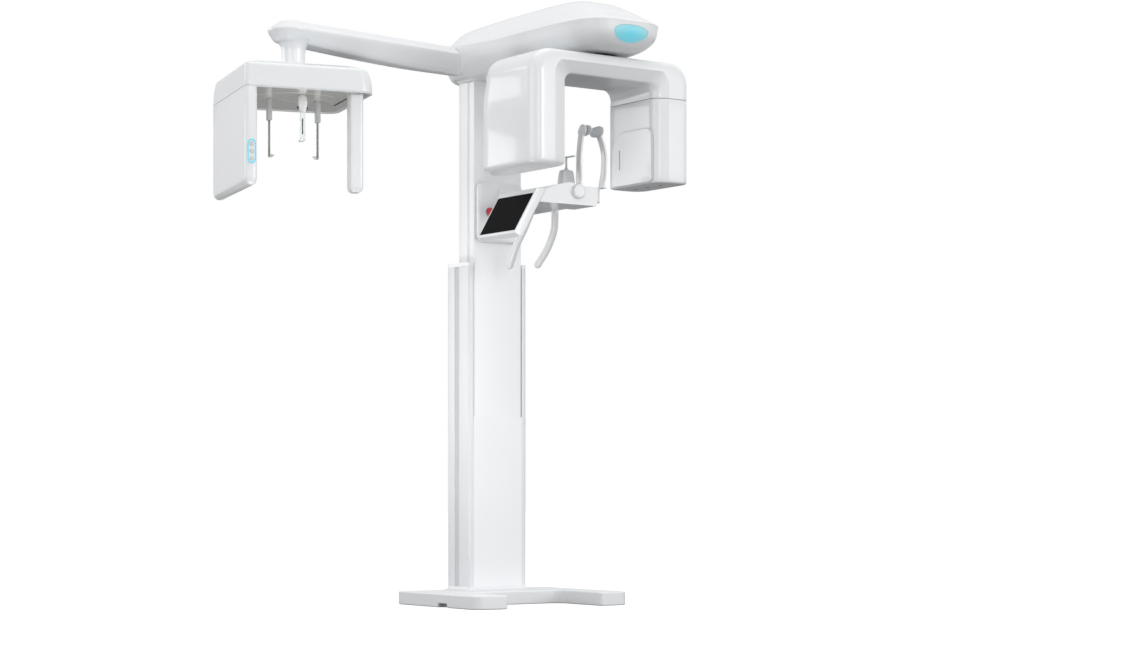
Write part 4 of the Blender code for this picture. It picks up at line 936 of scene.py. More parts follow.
# ------------------------------------------------------------------ mast and carriage
@dataclass
class Mast(Assembly):
    """Lifting mast, its drive nut, and the pad with the stop button."""

    half: float = 0.1155
    front: float = -0.0876
    rear: float = 0.031
    corner: float = 0.012
    groove: Flat = (-0.082, -0.038)
    groove_depth: float = 0.006
    wall: float = 0.006
    pad_corner: float = 0.028
    stop_radius: float = 0.0165

    def build(self) -> None:
        """Build and dress the mast."""
        low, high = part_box("upper_column")
        near, far = self.groove
        slope = self.groove_depth
        right = [(self.half, self.front), (self.half, near), (self.half - slope, near + slope),
                 (self.half - slope, far - slope), (self.half, far), (self.half, self.rear)]
        radii = [0.004, 0.002, 0.002, 0.002, 0.002, self.corner]
        outline = fillet(mirrored(right), radii + radii[::-1], 6)
        mast = prism("mast_extrusion", outline, low.z, high.z)
        inner = self.half - 2 * self.wall - 0.0005
        combine(mast, block("bore", (-inner, self.front + self.wall, low.z - 0.01),
                            (inner, self.rear - self.wall, high.z - self.wall)))
        self.keep(mast, COLUMN_POWDER, Body.LIFT, "upper_column")
        self.dress(BRIGHT_STEEL, "lift_rod")
        self.dress(BRIGHT_ALUMINIUM, "guide_shoe", "rod_bracket")
        self.pad()

    def pad(self) -> None:
        """Raised pad on the mast with the stop button in it."""
        low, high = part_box("carriage_pad")
        outline = fillet(rectangle((low.x, low.z), (high.x, high.z)), self.pad_corner, 12)
        pad = prism("mast_pad", outline, low.y, high.y, Plane.XZ)
        button_x, _, button_z = middle("estop_button")
        at = (button_x, low.y, button_z)
        r = self.stop_radius
        room = r + 0.0006
        bake(soften(pad, 0.010, 6, 50))
        combine(crisp(pad), facing_front(plug(room, -0.0125, 0.02), at))
        self.keep(pad, LACQUERED_ABS, Body.LIFT, "carriage_pad")
        stand_out = low.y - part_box("estop_button")[0].y
        profile = [(0.0, stand_out), (r * 0.45, stand_out), (r * 0.78, stand_out - 0.0016),
                   (r * 0.94, stand_out - 0.0045), (r, stand_out - 0.008), (r, 0.0055),
                   (r * 0.93, 0.0042), (r * 0.62, 0.0038), (r * 0.62, 0.0004), (0.0, 0.0004)]
        button = facing_front(turned("stop_cap", profile, 64, 50), at)
        self.keep(button, SIGNAL_RED, Body.STOP, "estop_button")
        collar = turned("stop_collar", [(room, 0.0030), (r * 1.14, 0.0030), (r * 1.26, 0.0012),
                                        (r * 1.28, -0.0010), (room, -0.0010)], 64)
        self.keep(facing_front(collar, at), GREY_ABS, Body.LIFT)


# ------------------------------------------------------------------ chin arm
@dataclass
class ChinArm(Assembly):
    """Arm with its front wing, tilted screen, hand grips, chin rest and temple supports."""

    tilt: float = math.radians(30.5)
    screen_top: Flat = (-0.2690, 1.6125)
    screen_length: float = 0.204
    screen_thickness: float = 0.037
    glass_margin: float = 0.0225
    glass_size: Flat = (0.241, 0.170)
    left: float = -0.020
    right: float = 0.073
    grip_radius: float = 0.0142
    bottom: float = 1.578
    top: float = 1.634
    stem_radius: float = 0.011
    temple_y: float = -0.724
    temple_reach: float = 0.047
    shoe_reach: float = 0.061       # the right band stands further out, on a shoe
    shoe_z: float = 1.6346

    def build(self) -> None:
        """Build and dress everything the arm carries."""
        self.arm()
        self.screen()
        self.grips()
        self.rest()
        self.temples()

    def arm(self) -> None:
        """Moulded arm that widens into a wing with a slanted left end."""
        pad_low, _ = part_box("carriage_pad")
        low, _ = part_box("chin_arm")
        root = pad_low.y - 0.0003
        front, bottom, top = low.y, self.bottom, self.top
        plan = [(self.right, root), (self.left, root), (self.left, -0.280), (-0.120, -0.370),
                (-0.150, -0.520), (-0.150, front + 0.001), (0.054, front + 0.001),
                (self.right - 0.014, -0.480)]
        arm = prism("arm_moulding", fillet(plan, [0, 0, 0.05, 0.05, 0.05, 0, 0.060, 0.05], 14),
                    bottom, top)
        seat = self.screen_top[0] + (self.screen_thickness + 0.0003) / math.cos(self.tilt)
        drop = (self.screen_top[1] - low.z) * math.tan(self.tilt)
        face = [(0.015, low.z), (0.015, top - 0.004), (-0.075, top - 0.004), (-0.078, top),
                (-0.110, 1.646), (-0.165, 1.634), (seat, self.screen_top[1]), (seat - drop, low.z)]
        wing = prism("wing", fillet(face, [0.008, 0, 0.003, 0.003, 0.05, 0.05, 0, 0], 8), front,
                     front + 0.145, Plane.XZ)
        side = [(root, bottom + 0.012), (-0.26, bottom + 0.012), (-0.30, top), (root - 0.05, 1.648),
                (root, 1.692)]
        gusset = prism("gusset", side, self.left + 0.008, self.right - 0.004, Plane.YZ)
        combine(arm, wing, Join.WELD)
        combine(arm, gusset, Join.WELD)
        bake(soften(arm, 0.010, 5, 35))
        stem = plug(self.stem_radius + 0.0008, 1.50, 1.70, 48)
        combine(crisp(arm), moved(stem, Matrix.Translation((0, middle("chin_rest")[1], 0))))
        self.keep(arm, LACQUERED_ABS, Body.LIFT, "chin_arm")
        self.knob()

    def knob(self) -> None:
        """Dished knob that sets the width of the temple supports."""
        low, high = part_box("temple_knob")
        knob_x, _, knob_z = middle("temple_knob")
        radius = (high.x - low.x) / 2
        profile = [(0.0, 0.0140), (radius * 0.60, 0.0144), (radius * 0.80, 0.0150),
                   (radius * 0.90, 0.0132), (radius * 0.97, 0.0080), (radius, 0.0010),
                   (radius * 0.98, 0.0), (0.0, 0.0)]
        knob = facing_front(turned("width_knob", profile, 72, 50), (knob_x, high.y, knob_z))
        self.keep(knob, LACQUERED_ABS, Body.KNOB, "temple_knob")

    def screen(self) -> None:
        """Tilted housing with a sunk pane."""
        low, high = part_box("screen_housing")
        top_x, top_z = self.screen_top
        run_x = self.screen_length * math.sin(self.tilt)
        run_z = self.screen_length * math.cos(self.tilt)
        back_x = self.screen_thickness * math.cos(self.tilt)
        back_z = self.screen_thickness * math.sin(self.tilt)
        side = [(top_x, top_z), (top_x - run_x, top_z - run_z),
                (top_x - run_x + back_x, top_z - run_z - back_z),
                (top_x + self.screen_thickness / math.cos(self.tilt), top_z)]
        shell = prism("screen_shell", fillet(side, [0.006, 0.006, 0.012, 0.002], 8), low.y, high.y,
                      Plane.XZ)
        bake(soften(shell, 0.005, 4, 40, even=False))
        crisp(shell)
        half = self.glass_size[0] / 2
        foot = -self.glass_margin - self.glass_size[1]
        lay = Matrix.Translation((top_x, (low.y + high.y) / 2, top_z))
        lay = lay @ Matrix.Rotation(self.tilt, 4, "Y")
        gap = 0.0006
        rim = fillet(rectangle((-half - gap, foot - gap), (half + gap, -self.glass_margin + gap)),
                     0.0035, 6)
        recess = moved(prism("recess", rim, -0.02, 0.0032, Plane.YZ), lay)
        combine(shell, recess)
        self.keep(shell, LACQUERED_ABS, Body.LIFT, "screen_housing")
        pane_edge = fillet(rectangle((-half, foot), (half, -self.glass_margin)), 0.003, 6)
        pane = moved(prism("screen_pane", pane_edge, 0.0006, 0.0030, Plane.YZ), lay)
        self.keep(soften(pane, 0.0005, 2), SCREEN_GLASS, Body.LIFT, "touch_screen")

    def grips(self) -> None:
        """Two bowed hand grips under the arm."""
        for side, sign in (("left", -1), ("right", 1)):
            low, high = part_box("handle_" + side)
            foot = [(sign * 0.058, -0.413, high.z + 0.004), (sign * 0.058, -0.413, 1.572)]
            route = [(sign * 0.058, -0.413, 1.566), (sign * 0.072, -0.385, 1.500),
                     (sign * 0.076, -0.330, 1.430),
                     (sign * 0.068, -0.277, low.z + self.grip_radius)]
            path = foot + curve_through(route, 26)
            grip = tube("grip_" + side, path, self.grip_radius, 32)
            self.keep(grip, LACQUERED_ABS, Body.LIFT, "handle_" + side)

    def rest(self) -> None:
        """Chin rest on its stem, with the bite post above."""
        low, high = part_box("chin_rest")
        rest_y = middle("chin_rest")[1]
        rings = []
        knots = [(1.650, 0.034, 0.018), (1.654, 0.036, 0.020), (1.690, 0.031, 0.0185),
                 (1.708, 0.028, 0.017), (1.716, 0.025, 0.015), (high.z, 0.021, 0.011)]
        for z, half_x, half_y in knots:
            rings.append(spread(oval((0.0, rest_y), (half_x, half_y), 56, 0.45), z))
        rest = loft("chin_cup", rings)
        stem = plug(self.stem_radius, low.z, 1.660, 48)
        combine(rest, moved(stem, Matrix.Translation((0, rest_y, 0))), Join.WELD)
        self.keep(rest, GREY_ABS, Body.CHIN, "chin_rest")
        foot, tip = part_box("bite_post")
        height = tip.z - foot.z
        profile = [(0.0, height), (0.0030, height), (0.0040, height - 0.001), (0.0042, 0.014),
                   (0.0060, 0.006), (0.0095, 0.002), (0.0100, 0.0), (0.0, 0.0)]
        post = turned("bite_pin", profile, 40)
        tab = soften(block("tab", (-0.0065, -0.055, height - 0.007), (0.0065, 0.0, height - 0.003)),
                     0.0012, 2)
        combine(post, bake(tab), Join.WELD)
        self.keep(moved(post, Matrix.Translation((0, rest_y, foot.z))), GREY_ABS, Body.CHIN,
                  "bite_post")

    def temples(self) -> None:
        """Two flat curved bands, each with a round eye and a soft oval pad at its top."""
        for side, sign, body in (("left", -1, Body.TEMPLE_LEFT), ("right", 1, Body.TEMPLE_RIGHT)):
            low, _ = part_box("temple_arm_" + side)
            y = self.temple_y
            outer = sign > 0
            foot_x = sign * (self.shoe_reach if outer else self.temple_reach)
            foot_z = self.shoe_z + 0.0085 if outer else low.z + 0.006
            bow = 0.014 if outer else 0.004
            knots = [(foot_x, y, foot_z), (foot_x + sign * bow * 0.2, y - 0.001, foot_z + 0.020),
                     (sign * (0.0500 + bow), y - 0.010, 1.705),
                     (sign * (0.0500 + bow), y - 0.012, 1.765),
                     (sign * (0.0420 + bow * 0.6), y - 0.008, 1.822),
                     (sign * 0.0385, y - 0.006, 1.846)]
            path = [(foot_x, y, foot_z - 0.0015)] + curve_through(knots, 26)[1:]
            widths = [0.0165 - 0.0010 * min(k / 10, 1.0) for k in range(len(path))]
            arm = tube("temple_bow_" + side, path, widths, 36, 0.34, square=0.45)
            pad_low, pad_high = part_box("temple_pad_" + side)
            centre = middle("temple_pad_" + side)[1:]
            eye = turned("eye", [(0.0, 0.0046), (0.0210, 0.0046), (0.0236, 0.0026), (0.0236, -0.0026),
                                 (0.0210, -0.0046), (0.0, -0.0046)], 64)
            combine(arm, moved(eye, facing((sign, 0, 0), (sign * 0.0385, *centre))), Join.WELD)
            if outer:
                shoe = block("shoe", (foot_x - 0.0095, y - 0.0200, self.shoe_z),
                             (foot_x + 0.0095, y + 0.0200, self.shoe_z + 0.0060))
                combine(arm, bake(soften(shoe, 0.0015, 3)), Join.WELD)
            self.keep(arm, LACQUERED_ABS, body, "temple_arm_" + side)
            lining = [(x, near + 0.0150, z) for x, near, z in path[3:-2]]
            self.keep(tube("temple_strip_" + side, lining, 0.0022, 16, 1.0), DARK_INSERT_AND_SLOT_SHADE, body)
            rings = []
            half = ((pad_high.y - pad_low.y) / 2 * 1.60, (pad_high.z - pad_low.z) / 2 * 1.08)
            for share, shrink in ((0.0, 0.80), (0.10, 0.90), (0.35, 0.99), (0.60, 1.0), (0.85, 0.96),
                                  (1.0, 0.86)):
                x = pad_low.x + (pad_high.x - pad_low.x) * share
                outline = oval(centre, (half[0] * shrink, half[1] * shrink), 48, 0.8)
                rings.append(spread(outline, x, Plane.YZ))
            self.keep(loft("temple_cushion_" + side, rings, sharp=60), SILICONE, body,
                      "temple_pad_" + side)


# ------------------------------------------------------------------ head
@dataclass
class Head(Assembly):
    """Boat-shaped head over the column: lower hull, domed cover, lit window and collar."""

    square_front: float = 0.42
    square_rear: float = 0.60
    count: int = 144
    window_half: Flat = (0.0800, 0.0215)
    window_tilt: float = math.radians(26)
    gap_radius: float = 0.084
    skin: float = 0.007
    rim_z: float = 2.236
    dome: tuple[Level, ...] = ((2.250, 0.193, 0.158, -0.978, 0.180, 0.033),
                               (2.270, 0.174, 0.142, -0.940, 0.166, 0.027),
                               (2.302, 0.142, 0.118, -0.880, 0.146, 0.016),
                               (2.336, 0.102, 0.088, -0.800, 0.120, 0.004),
                               (2.356, 0.060, 0.052, -0.690, 0.080, -0.004))

    def ring(self, z: float, half: float, rear_half: float, front: float, rear: float,
             lift: float) -> list[Spot]:
        """One plan outline of the head.

        Args:
            z: height at the front.
            half: half width in front.
            rear_half: half width over the column.
            front: foremost Y.
            rear: rearmost Y.
            lift: rise of the outline to the rear.

        Returns:
            The outline's points.
        """
        out = []
        middle, length = (front + rear) / 2, (rear - front) / 2
        for i in range(self.count):
            angle = 2 * math.pi * i / self.count
            c, s = math.cos(angle), math.sin(angle)
            square = self.square_front if s < 0 else self.square_rear
            y = middle + length * math.copysign(abs(s) ** square, s)
            across = math.copysign(abs(c) ** square, c)
            share = clamp((y + 0.42) / 0.62)
            swell = share * share * (3 - 2 * share)
            out.append(((half + (rear_half - half) * swell) * across, y, z + lift * swell))
        return out

    def rings(self, levels: list[Level], lift: float = 0.0, side: float = 0.0,
              ends: float = 0.0) -> list[list[Spot]]:
        """Plan outlines grown or shrunk by fixed distances.

        Args:
            levels: the values that ring() takes, one set per outline.
            lift: added to each height.
            side: distance outwards at the sides.
            ends: distance outwards in front and at the rear.

        Returns:
            One outline per level.
        """
        return [self.ring(z + lift, half + side, rear_half + side, front - ends, rear + ends, rise)
                for z, half, rear_half, front, rear, rise in levels]

    def hull_knots(self) -> list[Level]:
        """Set out the hull from its flat bottom to the rim.

        Returns:
            The outlines' values, as ring() takes them.
        """
        low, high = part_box("head_hull")
        return [(low.z, 0.124, 0.152, -0.892, 0.118, 0.0),
                (low.z + 0.004, 0.140, 0.158, -0.913, 0.130, 0.001),
                (low.z + 0.018, 0.167, 0.164, -0.955, 0.150, 0.004),
                (low.z + 0.050, 0.196, 0.169, -0.988, 0.174, 0.014),
                (self.rim_z, 0.206, 0.172, low.y, high.y, 0.036)]

    def build(self) -> None:
        """Build and dress the head."""
        levels = curve_through(self.hull_knots(), 25)
        hull = loft("head_hull_shell", self.rings(levels))
        inside = self.rings(levels[:-1], 0.006, -self.skin, -0.008)
        inside += self.rings(levels[-1:], 0.050, -self.skin, -0.008)
        hollow = loft("hollow", inside)
        combine(hull, hollow, keep=True)
        combine(hull, self.mast_hole(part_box("upper_column")[1].z + 0.0003))
        hub_x, hub_y, _ = middle("rotor_hub")
        combine(hull, moved(plug(self.gap_radius, 2.0, 2.20), Matrix.Translation((hub_x, hub_y, 0))))
        self.window(hull, hollow, levels)
        self.cover()
        self.collar()
        self.works()

    @staticmethod
    def mast_hole(top: float) -> Piece:
        """A tool that cuts the mast's way through the head.

        Args:
            top: height at which the cut ends; it starts below the head.

        Returns:
            The tool.
        """
        low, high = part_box("upper_column")
        return block("mast_hole", (low.x - 0.0018, low.y - 0.0003, 1.9),
                     (high.x + 0.0018, high.y + 0.0003, top))

    def window(self, hull: Piece, hollow: Piece, levels: list[Level]) -> None:
        """Oval window in the hull's front and the lit lens in it.

        Args:
            hull: the hull, which is finished here.
            hollow: the hull's inside, which is used up.
            levels: the hull's outlines.
        """
        x, y, z = middle("light_lens")
        centre = (x - 0.025, y, z - 0.009)
        place = Matrix.Translation((centre[0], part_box("head_hull")[0].y + 0.022, centre[2]))
        place = place @ Matrix.Rotation(-self.window_tilt, 4, "X")

        def bar(gap: float) -> Piece:
            """A slanting oval bar, a gap smaller than the window."""
            half = (self.window_half[0] - gap, self.window_half[1] - gap)
            return moved(prism("bar", oval((0, 0), half, 64, 0.86), -0.06, 0.04, Plane.XZ), place)

        combine(hull, bar(0.0))
        self.keep(hull, HULL_LACQUER, Body.LIFT, "head_hull")
        lens = loft("lit_window", self.rings(levels, 0.0005, -0.0012, -0.0014))
        combine(lens, hollow)
        combine(lens, bar(0.0008), Join.MEET)
        lit = LitLens("lit_ribbed_window", "cyan_lens", "#6fb4be", "#66acb8", 0.35, 1.49,
                      centre=centre, reach=(0.085, 0.09, 0.055), glow="#2ecbe6", edge="#a2c6cd",
                      rib_mm=5.0, strength=0.55)
        self.keep(lens, lit, Body.LIFT, "light_lens")

    def cover(self) -> None:
        """Domed cover from the hull's rim to the crest."""
        rim = self.hull_knots()[-1]
        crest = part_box("head_cover")[1].z
        knots = [(rim[0] + 0.0004,) + rim[1:], *self.dome, (crest, 0.020, 0.020, -0.560, 0.0, -0.004)]
        dome = loft("head_dome", self.rings(curve_through(knots, 36)), sharp=60)
        self.keep(dome, LACQUERED_ABS, Body.LIFT, "head_cover")

    def collar(self) -> None:
        """Flared skirt where the hull meets the mast."""
        low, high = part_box("head_collar")
        mast_low, mast_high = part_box("upper_column")
        rings = []
        for turn in quarter(10):
            grow = 0.006 + (high.x - mast_high.x - 0.004) * (1 - math.cos(turn))
            z = low.z + (high.z + 0.001 - low.z) * math.sin(turn)
            corners = rectangle((mast_low.x - grow, mast_low.y - grow),
                                (mast_high.x + grow, mast_high.y + grow))
            rings.append(spread(fillet(corners, 0.016 + grow, 10), z))
        skirt = loft("mast_skirt", rings)
        combine(skirt, self.mast_hole(2.3))
        self.keep(skirt, LACQUERED_ABS, Body.LIFT, "head_collar")

    def works(self) -> None:
        """Dress the frame, bearing and drive inside the head."""
        self.dress(BRIGHT_ALUMINIUM, "head_frame")
        self.dress(BRIGHT_STEEL, "slewing_ring", "drive_pinion")
        self.dress(DARK_MOULDING_AND_SEAM_SHADE, "rotation_motor")


# ------------------------------------------------------------------ rotor
@dataclass
class Rotor(Assembly):
    """Arch that turns round the head: tube leg, beam, detector leg and the black hub."""

    half_width: float = 0.372
    opening_half: float = 0.210
    opening_top: float = 2.040
    shoulder: float = 0.085
    beam_rear: float = -0.590
    tube_rear: float = -0.447
    detector_rear: float = -0.560
    leg_crease: float = 0.060       # from the opening to where the front face folds inwards
    beam_crease: float = 0.046
    fold_depth: float = 0.024
    blend: float = 0.085            # radius from the fold into the detector leg's inner face
    inner_front: float = 0.032      # radius of the opening's corners in front
    inner_rear: float = 0.054       # and at the back
    corner_steps: int = 22
    flange: float = 0.100           # radius of the black flange under the head
    lean: float = 0.022             # how far the tube leg's back leans out at the shoulder
    lean_from: float = 1.940        # height where that starts
    tube_radii: Level = (0.004, 0.060, 0.143, 0.014)
    beam_radii: Level = (0.012, 0.018, 0.024, 0.022)
    seam_gap: float = 0.0020        # open line between the arch and the detector's shell
    corner_cut: float = 0.586       # share of the rear radius that a corner in two halves cuts off

    def __post_init__(self) -> None:
        """Find the arch's front and top, and the sections' shared sizes."""
        low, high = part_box("arch_shell")
        self.front, self.top = low.y, high.z
        self.leg_size = (self.half_width - self.opening_half, self.leg_crease)
        self.beam_size = (self.top - self.opening_top, self.beam_crease)
        self.detector_radii = (self.blend, 0.034, 0.050, 0.026)

    def ring(self, inner: Callable[[float], Flat], outer: Flat, rear: float, size: Flat,
             radii: Level, inset: float = 0.0) -> list[Spot]:
        """One section of the arch's bar.

        Args:
            inner: gives the opening's (x, z) for a corner radius.
            outer: the outline's (x, z).
            rear: rearmost Y.
            size: the bar's thickness, and the distance from the opening to the fold.
            radii: fold to inner face, outer front, outer rear and inner rear radius.
            inset: shrinks the section all round.

        Returns:
            The section's points.
        """
        front, back = self.front + inset, rear - inset
        span, crease = size
        side, cut = span - inset, self.corner_cut * radii[2]
        corners = [(inset, front + self.fold_depth), (crease, front), (side, front),
                   (side, back - cut), (side - cut, back), (inset, back)]
        outline = fillet(corners, [radii[0], 0.003, radii[1], radii[2], radii[2], radii[3]], 9)
        out = []
        for across, y in outline:
            depth = clamp((y - front) / 0.22)
            near = inner(self.inner_front + (self.inner_rear - self.inner_front) * depth)
            x, z = mix(near, outer, across / span)
            out.append((x, y, z))
        return out

    def leg_ring(self, sign: int, share: float, foot: float, inset: float = 0.0) -> list[Spot]:
        """A section of a leg.

        Args:
            sign: -1 for the tube side, 1 for the detector side.
            share: place along the leg, 0 at its foot and 1 where its corner starts.
            foot: the leg's lowest Z.
            inset: distance inwards.

        Returns:
            The section's points.
        """
        shoulder_z = self.top - self.shoulder
        height = foot + (shoulder_z - foot) * share

        def inner(radius: float) -> Flat:
            """The opening's edge beside this section."""
            return sign * self.opening_half, foot + (self.opening_top - radius - foot) * share

        rear, radii = self.detector_rear, self.detector_radii
        if sign < 0:
            lean = clamp((height - self.lean_from) / (shoulder_z - self.lean_from))
            rear, radii = self.tube_rear - self.lean * lean ** 2, self.tube_radii
        outer = (sign * self.half_width, height)
        return self.ring(inner, outer, rear, self.leg_size, radii, inset)

    def corner_ring(self, sign: int, share: float) -> list[Spot]:
        """A section round a shoulder.

        Args:
            sign: -1 for the tube side, 1 for the detector side.
            share: place along the corner, 0 at the leg and 1 at the beam.

        Returns:
            The section's points.
        """
        angle = math.pi / 2 * share
        outer = (sign * (self.half_width - self.shoulder * (1 - math.cos(angle))),
                 self.top - self.shoulder * (1 - math.sin(angle)))

        def inner(radius: float) -> Flat:
            """The opening's rounded corner."""
            return (sign * (self.opening_half - radius * (1 - math.cos(angle))),
                    self.opening_top - radius * (1 - math.sin(angle)))

        size = mix(self.leg_size, self.beam_size, share)
        if sign < 0:
            start = self.tube_rear - self.lean
            rear = start + (self.beam_rear - start) * share ** 1.8
            radii = mix(self.tube_radii, self.beam_radii, share)
        else:
            rear = self.detector_rear + (self.beam_rear - self.detector_rear) * share
            fold = mix(self.detector_radii, self.beam_radii, share ** 0.6)[:1]
            radii = fold + mix(self.detector_radii, self.beam_radii, share)[1:]
        return self.ring(inner, outer, rear, size, radii)

    def beam_ring(self, share: float) -> list[Spot]:
        """A section of the beam.

        Args:
            share: place along the beam, 0 on the tube side and 1 on the detector side.

        Returns:
            The section's points.
        """
        outer_x = (2 * share - 1) * (self.half_width - self.shoulder)

        def inner(radius: float) -> Flat:
            """The opening's top edge."""
            return (2 * share - 1) * (self.opening_half - radius), self.opening_top

        outer = (outer_x, self.top)
        return self.ring(inner, outer, self.beam_rear, self.beam_size, self.beam_radii)

    def foot_rings(self, sign: int, foot: float, radius: float) -> list[list[Spot]]:
        """Shrinking sections that round a leg's lower end.

        Args:
            sign: -1 for the tube side, 1 for the detector side.
            foot: the leg's lowest Z.
            radius: rounding of its lower edge.

        Returns:
            Sections from the foot upwards.
        """
        length = self.top - self.shoulder - foot
        return [self.leg_ring(sign, radius * (1 - math.cos(turn)) / length, foot,
                              radius * (1 - math.sin(turn))) for turn in quarter(9)[:-1]]

    def build(self) -> None:
        """Build and dress the rotor."""
        arch_low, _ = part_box("arch_shell")
        shell_low, shell_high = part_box("detector_shell")
        seam = shell_high.z + 0.0010
        steps = self.corner_steps
        rings = self.foot_rings(-1, arch_low.z, 0.020)
        rings += [self.leg_ring(-1, 0.057 + 0.943 * k / 16, arch_low.z) for k in range(1, 17)]
        rings += [self.corner_ring(-1, k / steps) for k in range(1, steps + 1)]
        rings += [self.beam_ring(k / 12) for k in range(1, 12)]
        rings += [self.corner_ring(1, 1 - k / steps) for k in range(steps)]
        rings += [self.leg_ring(1, 1 - k / 5, seam) for k in range(5)]
        rings += [self.leg_ring(1, 0.03, seam), self.leg_ring(1, 0.012, seam, 0.0001),
                  self.leg_ring(1, 0.0, seam, 0.0008)]
        self.keep(loft("arch_moulding", rings, sharp=26), LACQUERED_ABS, Body.ROTOR, "arch_shell")
        self.inner_rear = self.inner_front      # the shell below the seam is straight all through
        edge = 0.009
        rings = self.foot_rings(1, shell_low.z, edge)
        top = seam - self.seam_gap
        last = top - 0.003 * (self.top - self.shoulder - shell_low.z)
        for k in range(1, 11):
            rings.append(self.level_ring(shell_low.z + edge + (last - shell_low.z - edge) * k / 10))
        rings += [self.level_ring(top - 0.0007, 0.0001), self.level_ring(top, 0.0008)]
        self.keep(loft("detector_moulding", rings, sharp=26), LACQUERED_ABS, Body.ROTOR,
                  "detector_shell")
        # Dark core inside the seam's open line: painted shade for the shadow in the gap between the arch and
        # the detector's shell.
        seam_shade_rings = [self.level_ring(height, 0.0030) for height in (seam - 0.0140, seam, seam + 0.0060)]
        self.keep(loft("parting_seam_shade", seam_shade_rings, sharp=26), DARK_MOULDING_AND_SEAM_SHADE, Body.ROTOR)
        self.detector_face()
        self.hub()
        self.dress(DARK_MOULDING_AND_SEAM_SHADE, "tube_head", "detector_panel", "tube_port")

    def level_ring(self, height: float, inset: float = 0.0) -> list[Spot]:
        """A level section of the detector leg at one height."""
        return self.ring(lambda radius: (self.opening_half, height), (self.half_width, height),
                         self.detector_rear, self.leg_size, self.detector_radii, inset)

    def detector_face(self) -> None:
        """Raised cover on the detector leg's inner face, with its slit and three screws below."""
        low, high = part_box("detector_cover")
        shell_low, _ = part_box("detector_shell")
        outline = fillet(rectangle((low.y, low.z), (high.y, high.z)), [0.012, 0.012, 0.085, 0.034], 14)
        cover = prism("detector_window", outline, low.x, high.x, Plane.YZ)
        slit = block("slit", (low.x - 0.05, -0.652, 1.726), (high.x - 0.002, -0.648, 1.801))
        combine(cover, slit)
        self.keep(soften(cover, 0.0025, 3, 50), LACQUERED_ABS, Body.ROTOR, "detector_cover")
        gap = 0.0022
        edge = fillet(rectangle((low.y - gap, low.z), (high.y + gap, high.z + gap)),
                      [0.014, 0.014, 0.087, 0.036], 14)
        gasket = prism("cover_gasket", edge, high.x - 0.0040, high.x + 0.0030, Plane.YZ)
        self.keep(gasket, GREY_INLAY, Body.ROTOR)
        for number, y in enumerate((-0.80, -0.72, -0.64), 1):
            screw = turned("leg_screw_%d" % number, [(0.0, 0.0012), (0.0042, 0.0012), (0.0046, 0.0006),
                                                     (0.0046, -0.001), (0.0, -0.001)], 24)
            moved(screw, facing(DOWN, (0.290, y, shell_low.z)))
            self.keep(screw, DARK_INSERT_AND_SLOT_SHADE, Body.ROTOR)

    def hub(self) -> None:
        """Black hub ring that shows in the gap under the head."""
        low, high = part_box("rotor_hub")
        hub_x, hub_y, _ = middle("rotor_hub")
        radius = (high.x - low.x) / 2
        gap_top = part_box("head_hull")[0].z - 0.0006
        ring = turned("hub_ring", [(0.032, high.z), (radius - 0.001, high.z), (radius, high.z - 0.001),
                                   (radius, gap_top), (self.flange, gap_top), (self.flange, low.z + 0.0004),
                                   (radius, low.z), (0.032, low.z)], 96)
        moved(ring, Matrix.Translation((hub_x, hub_y, 0)))
        self.keep(ring, BLACK_ANODISE, Body.ROTOR, "rotor_hub")
        self.dress(BRIGHT_ALUMINIUM, "rotor_pulley")


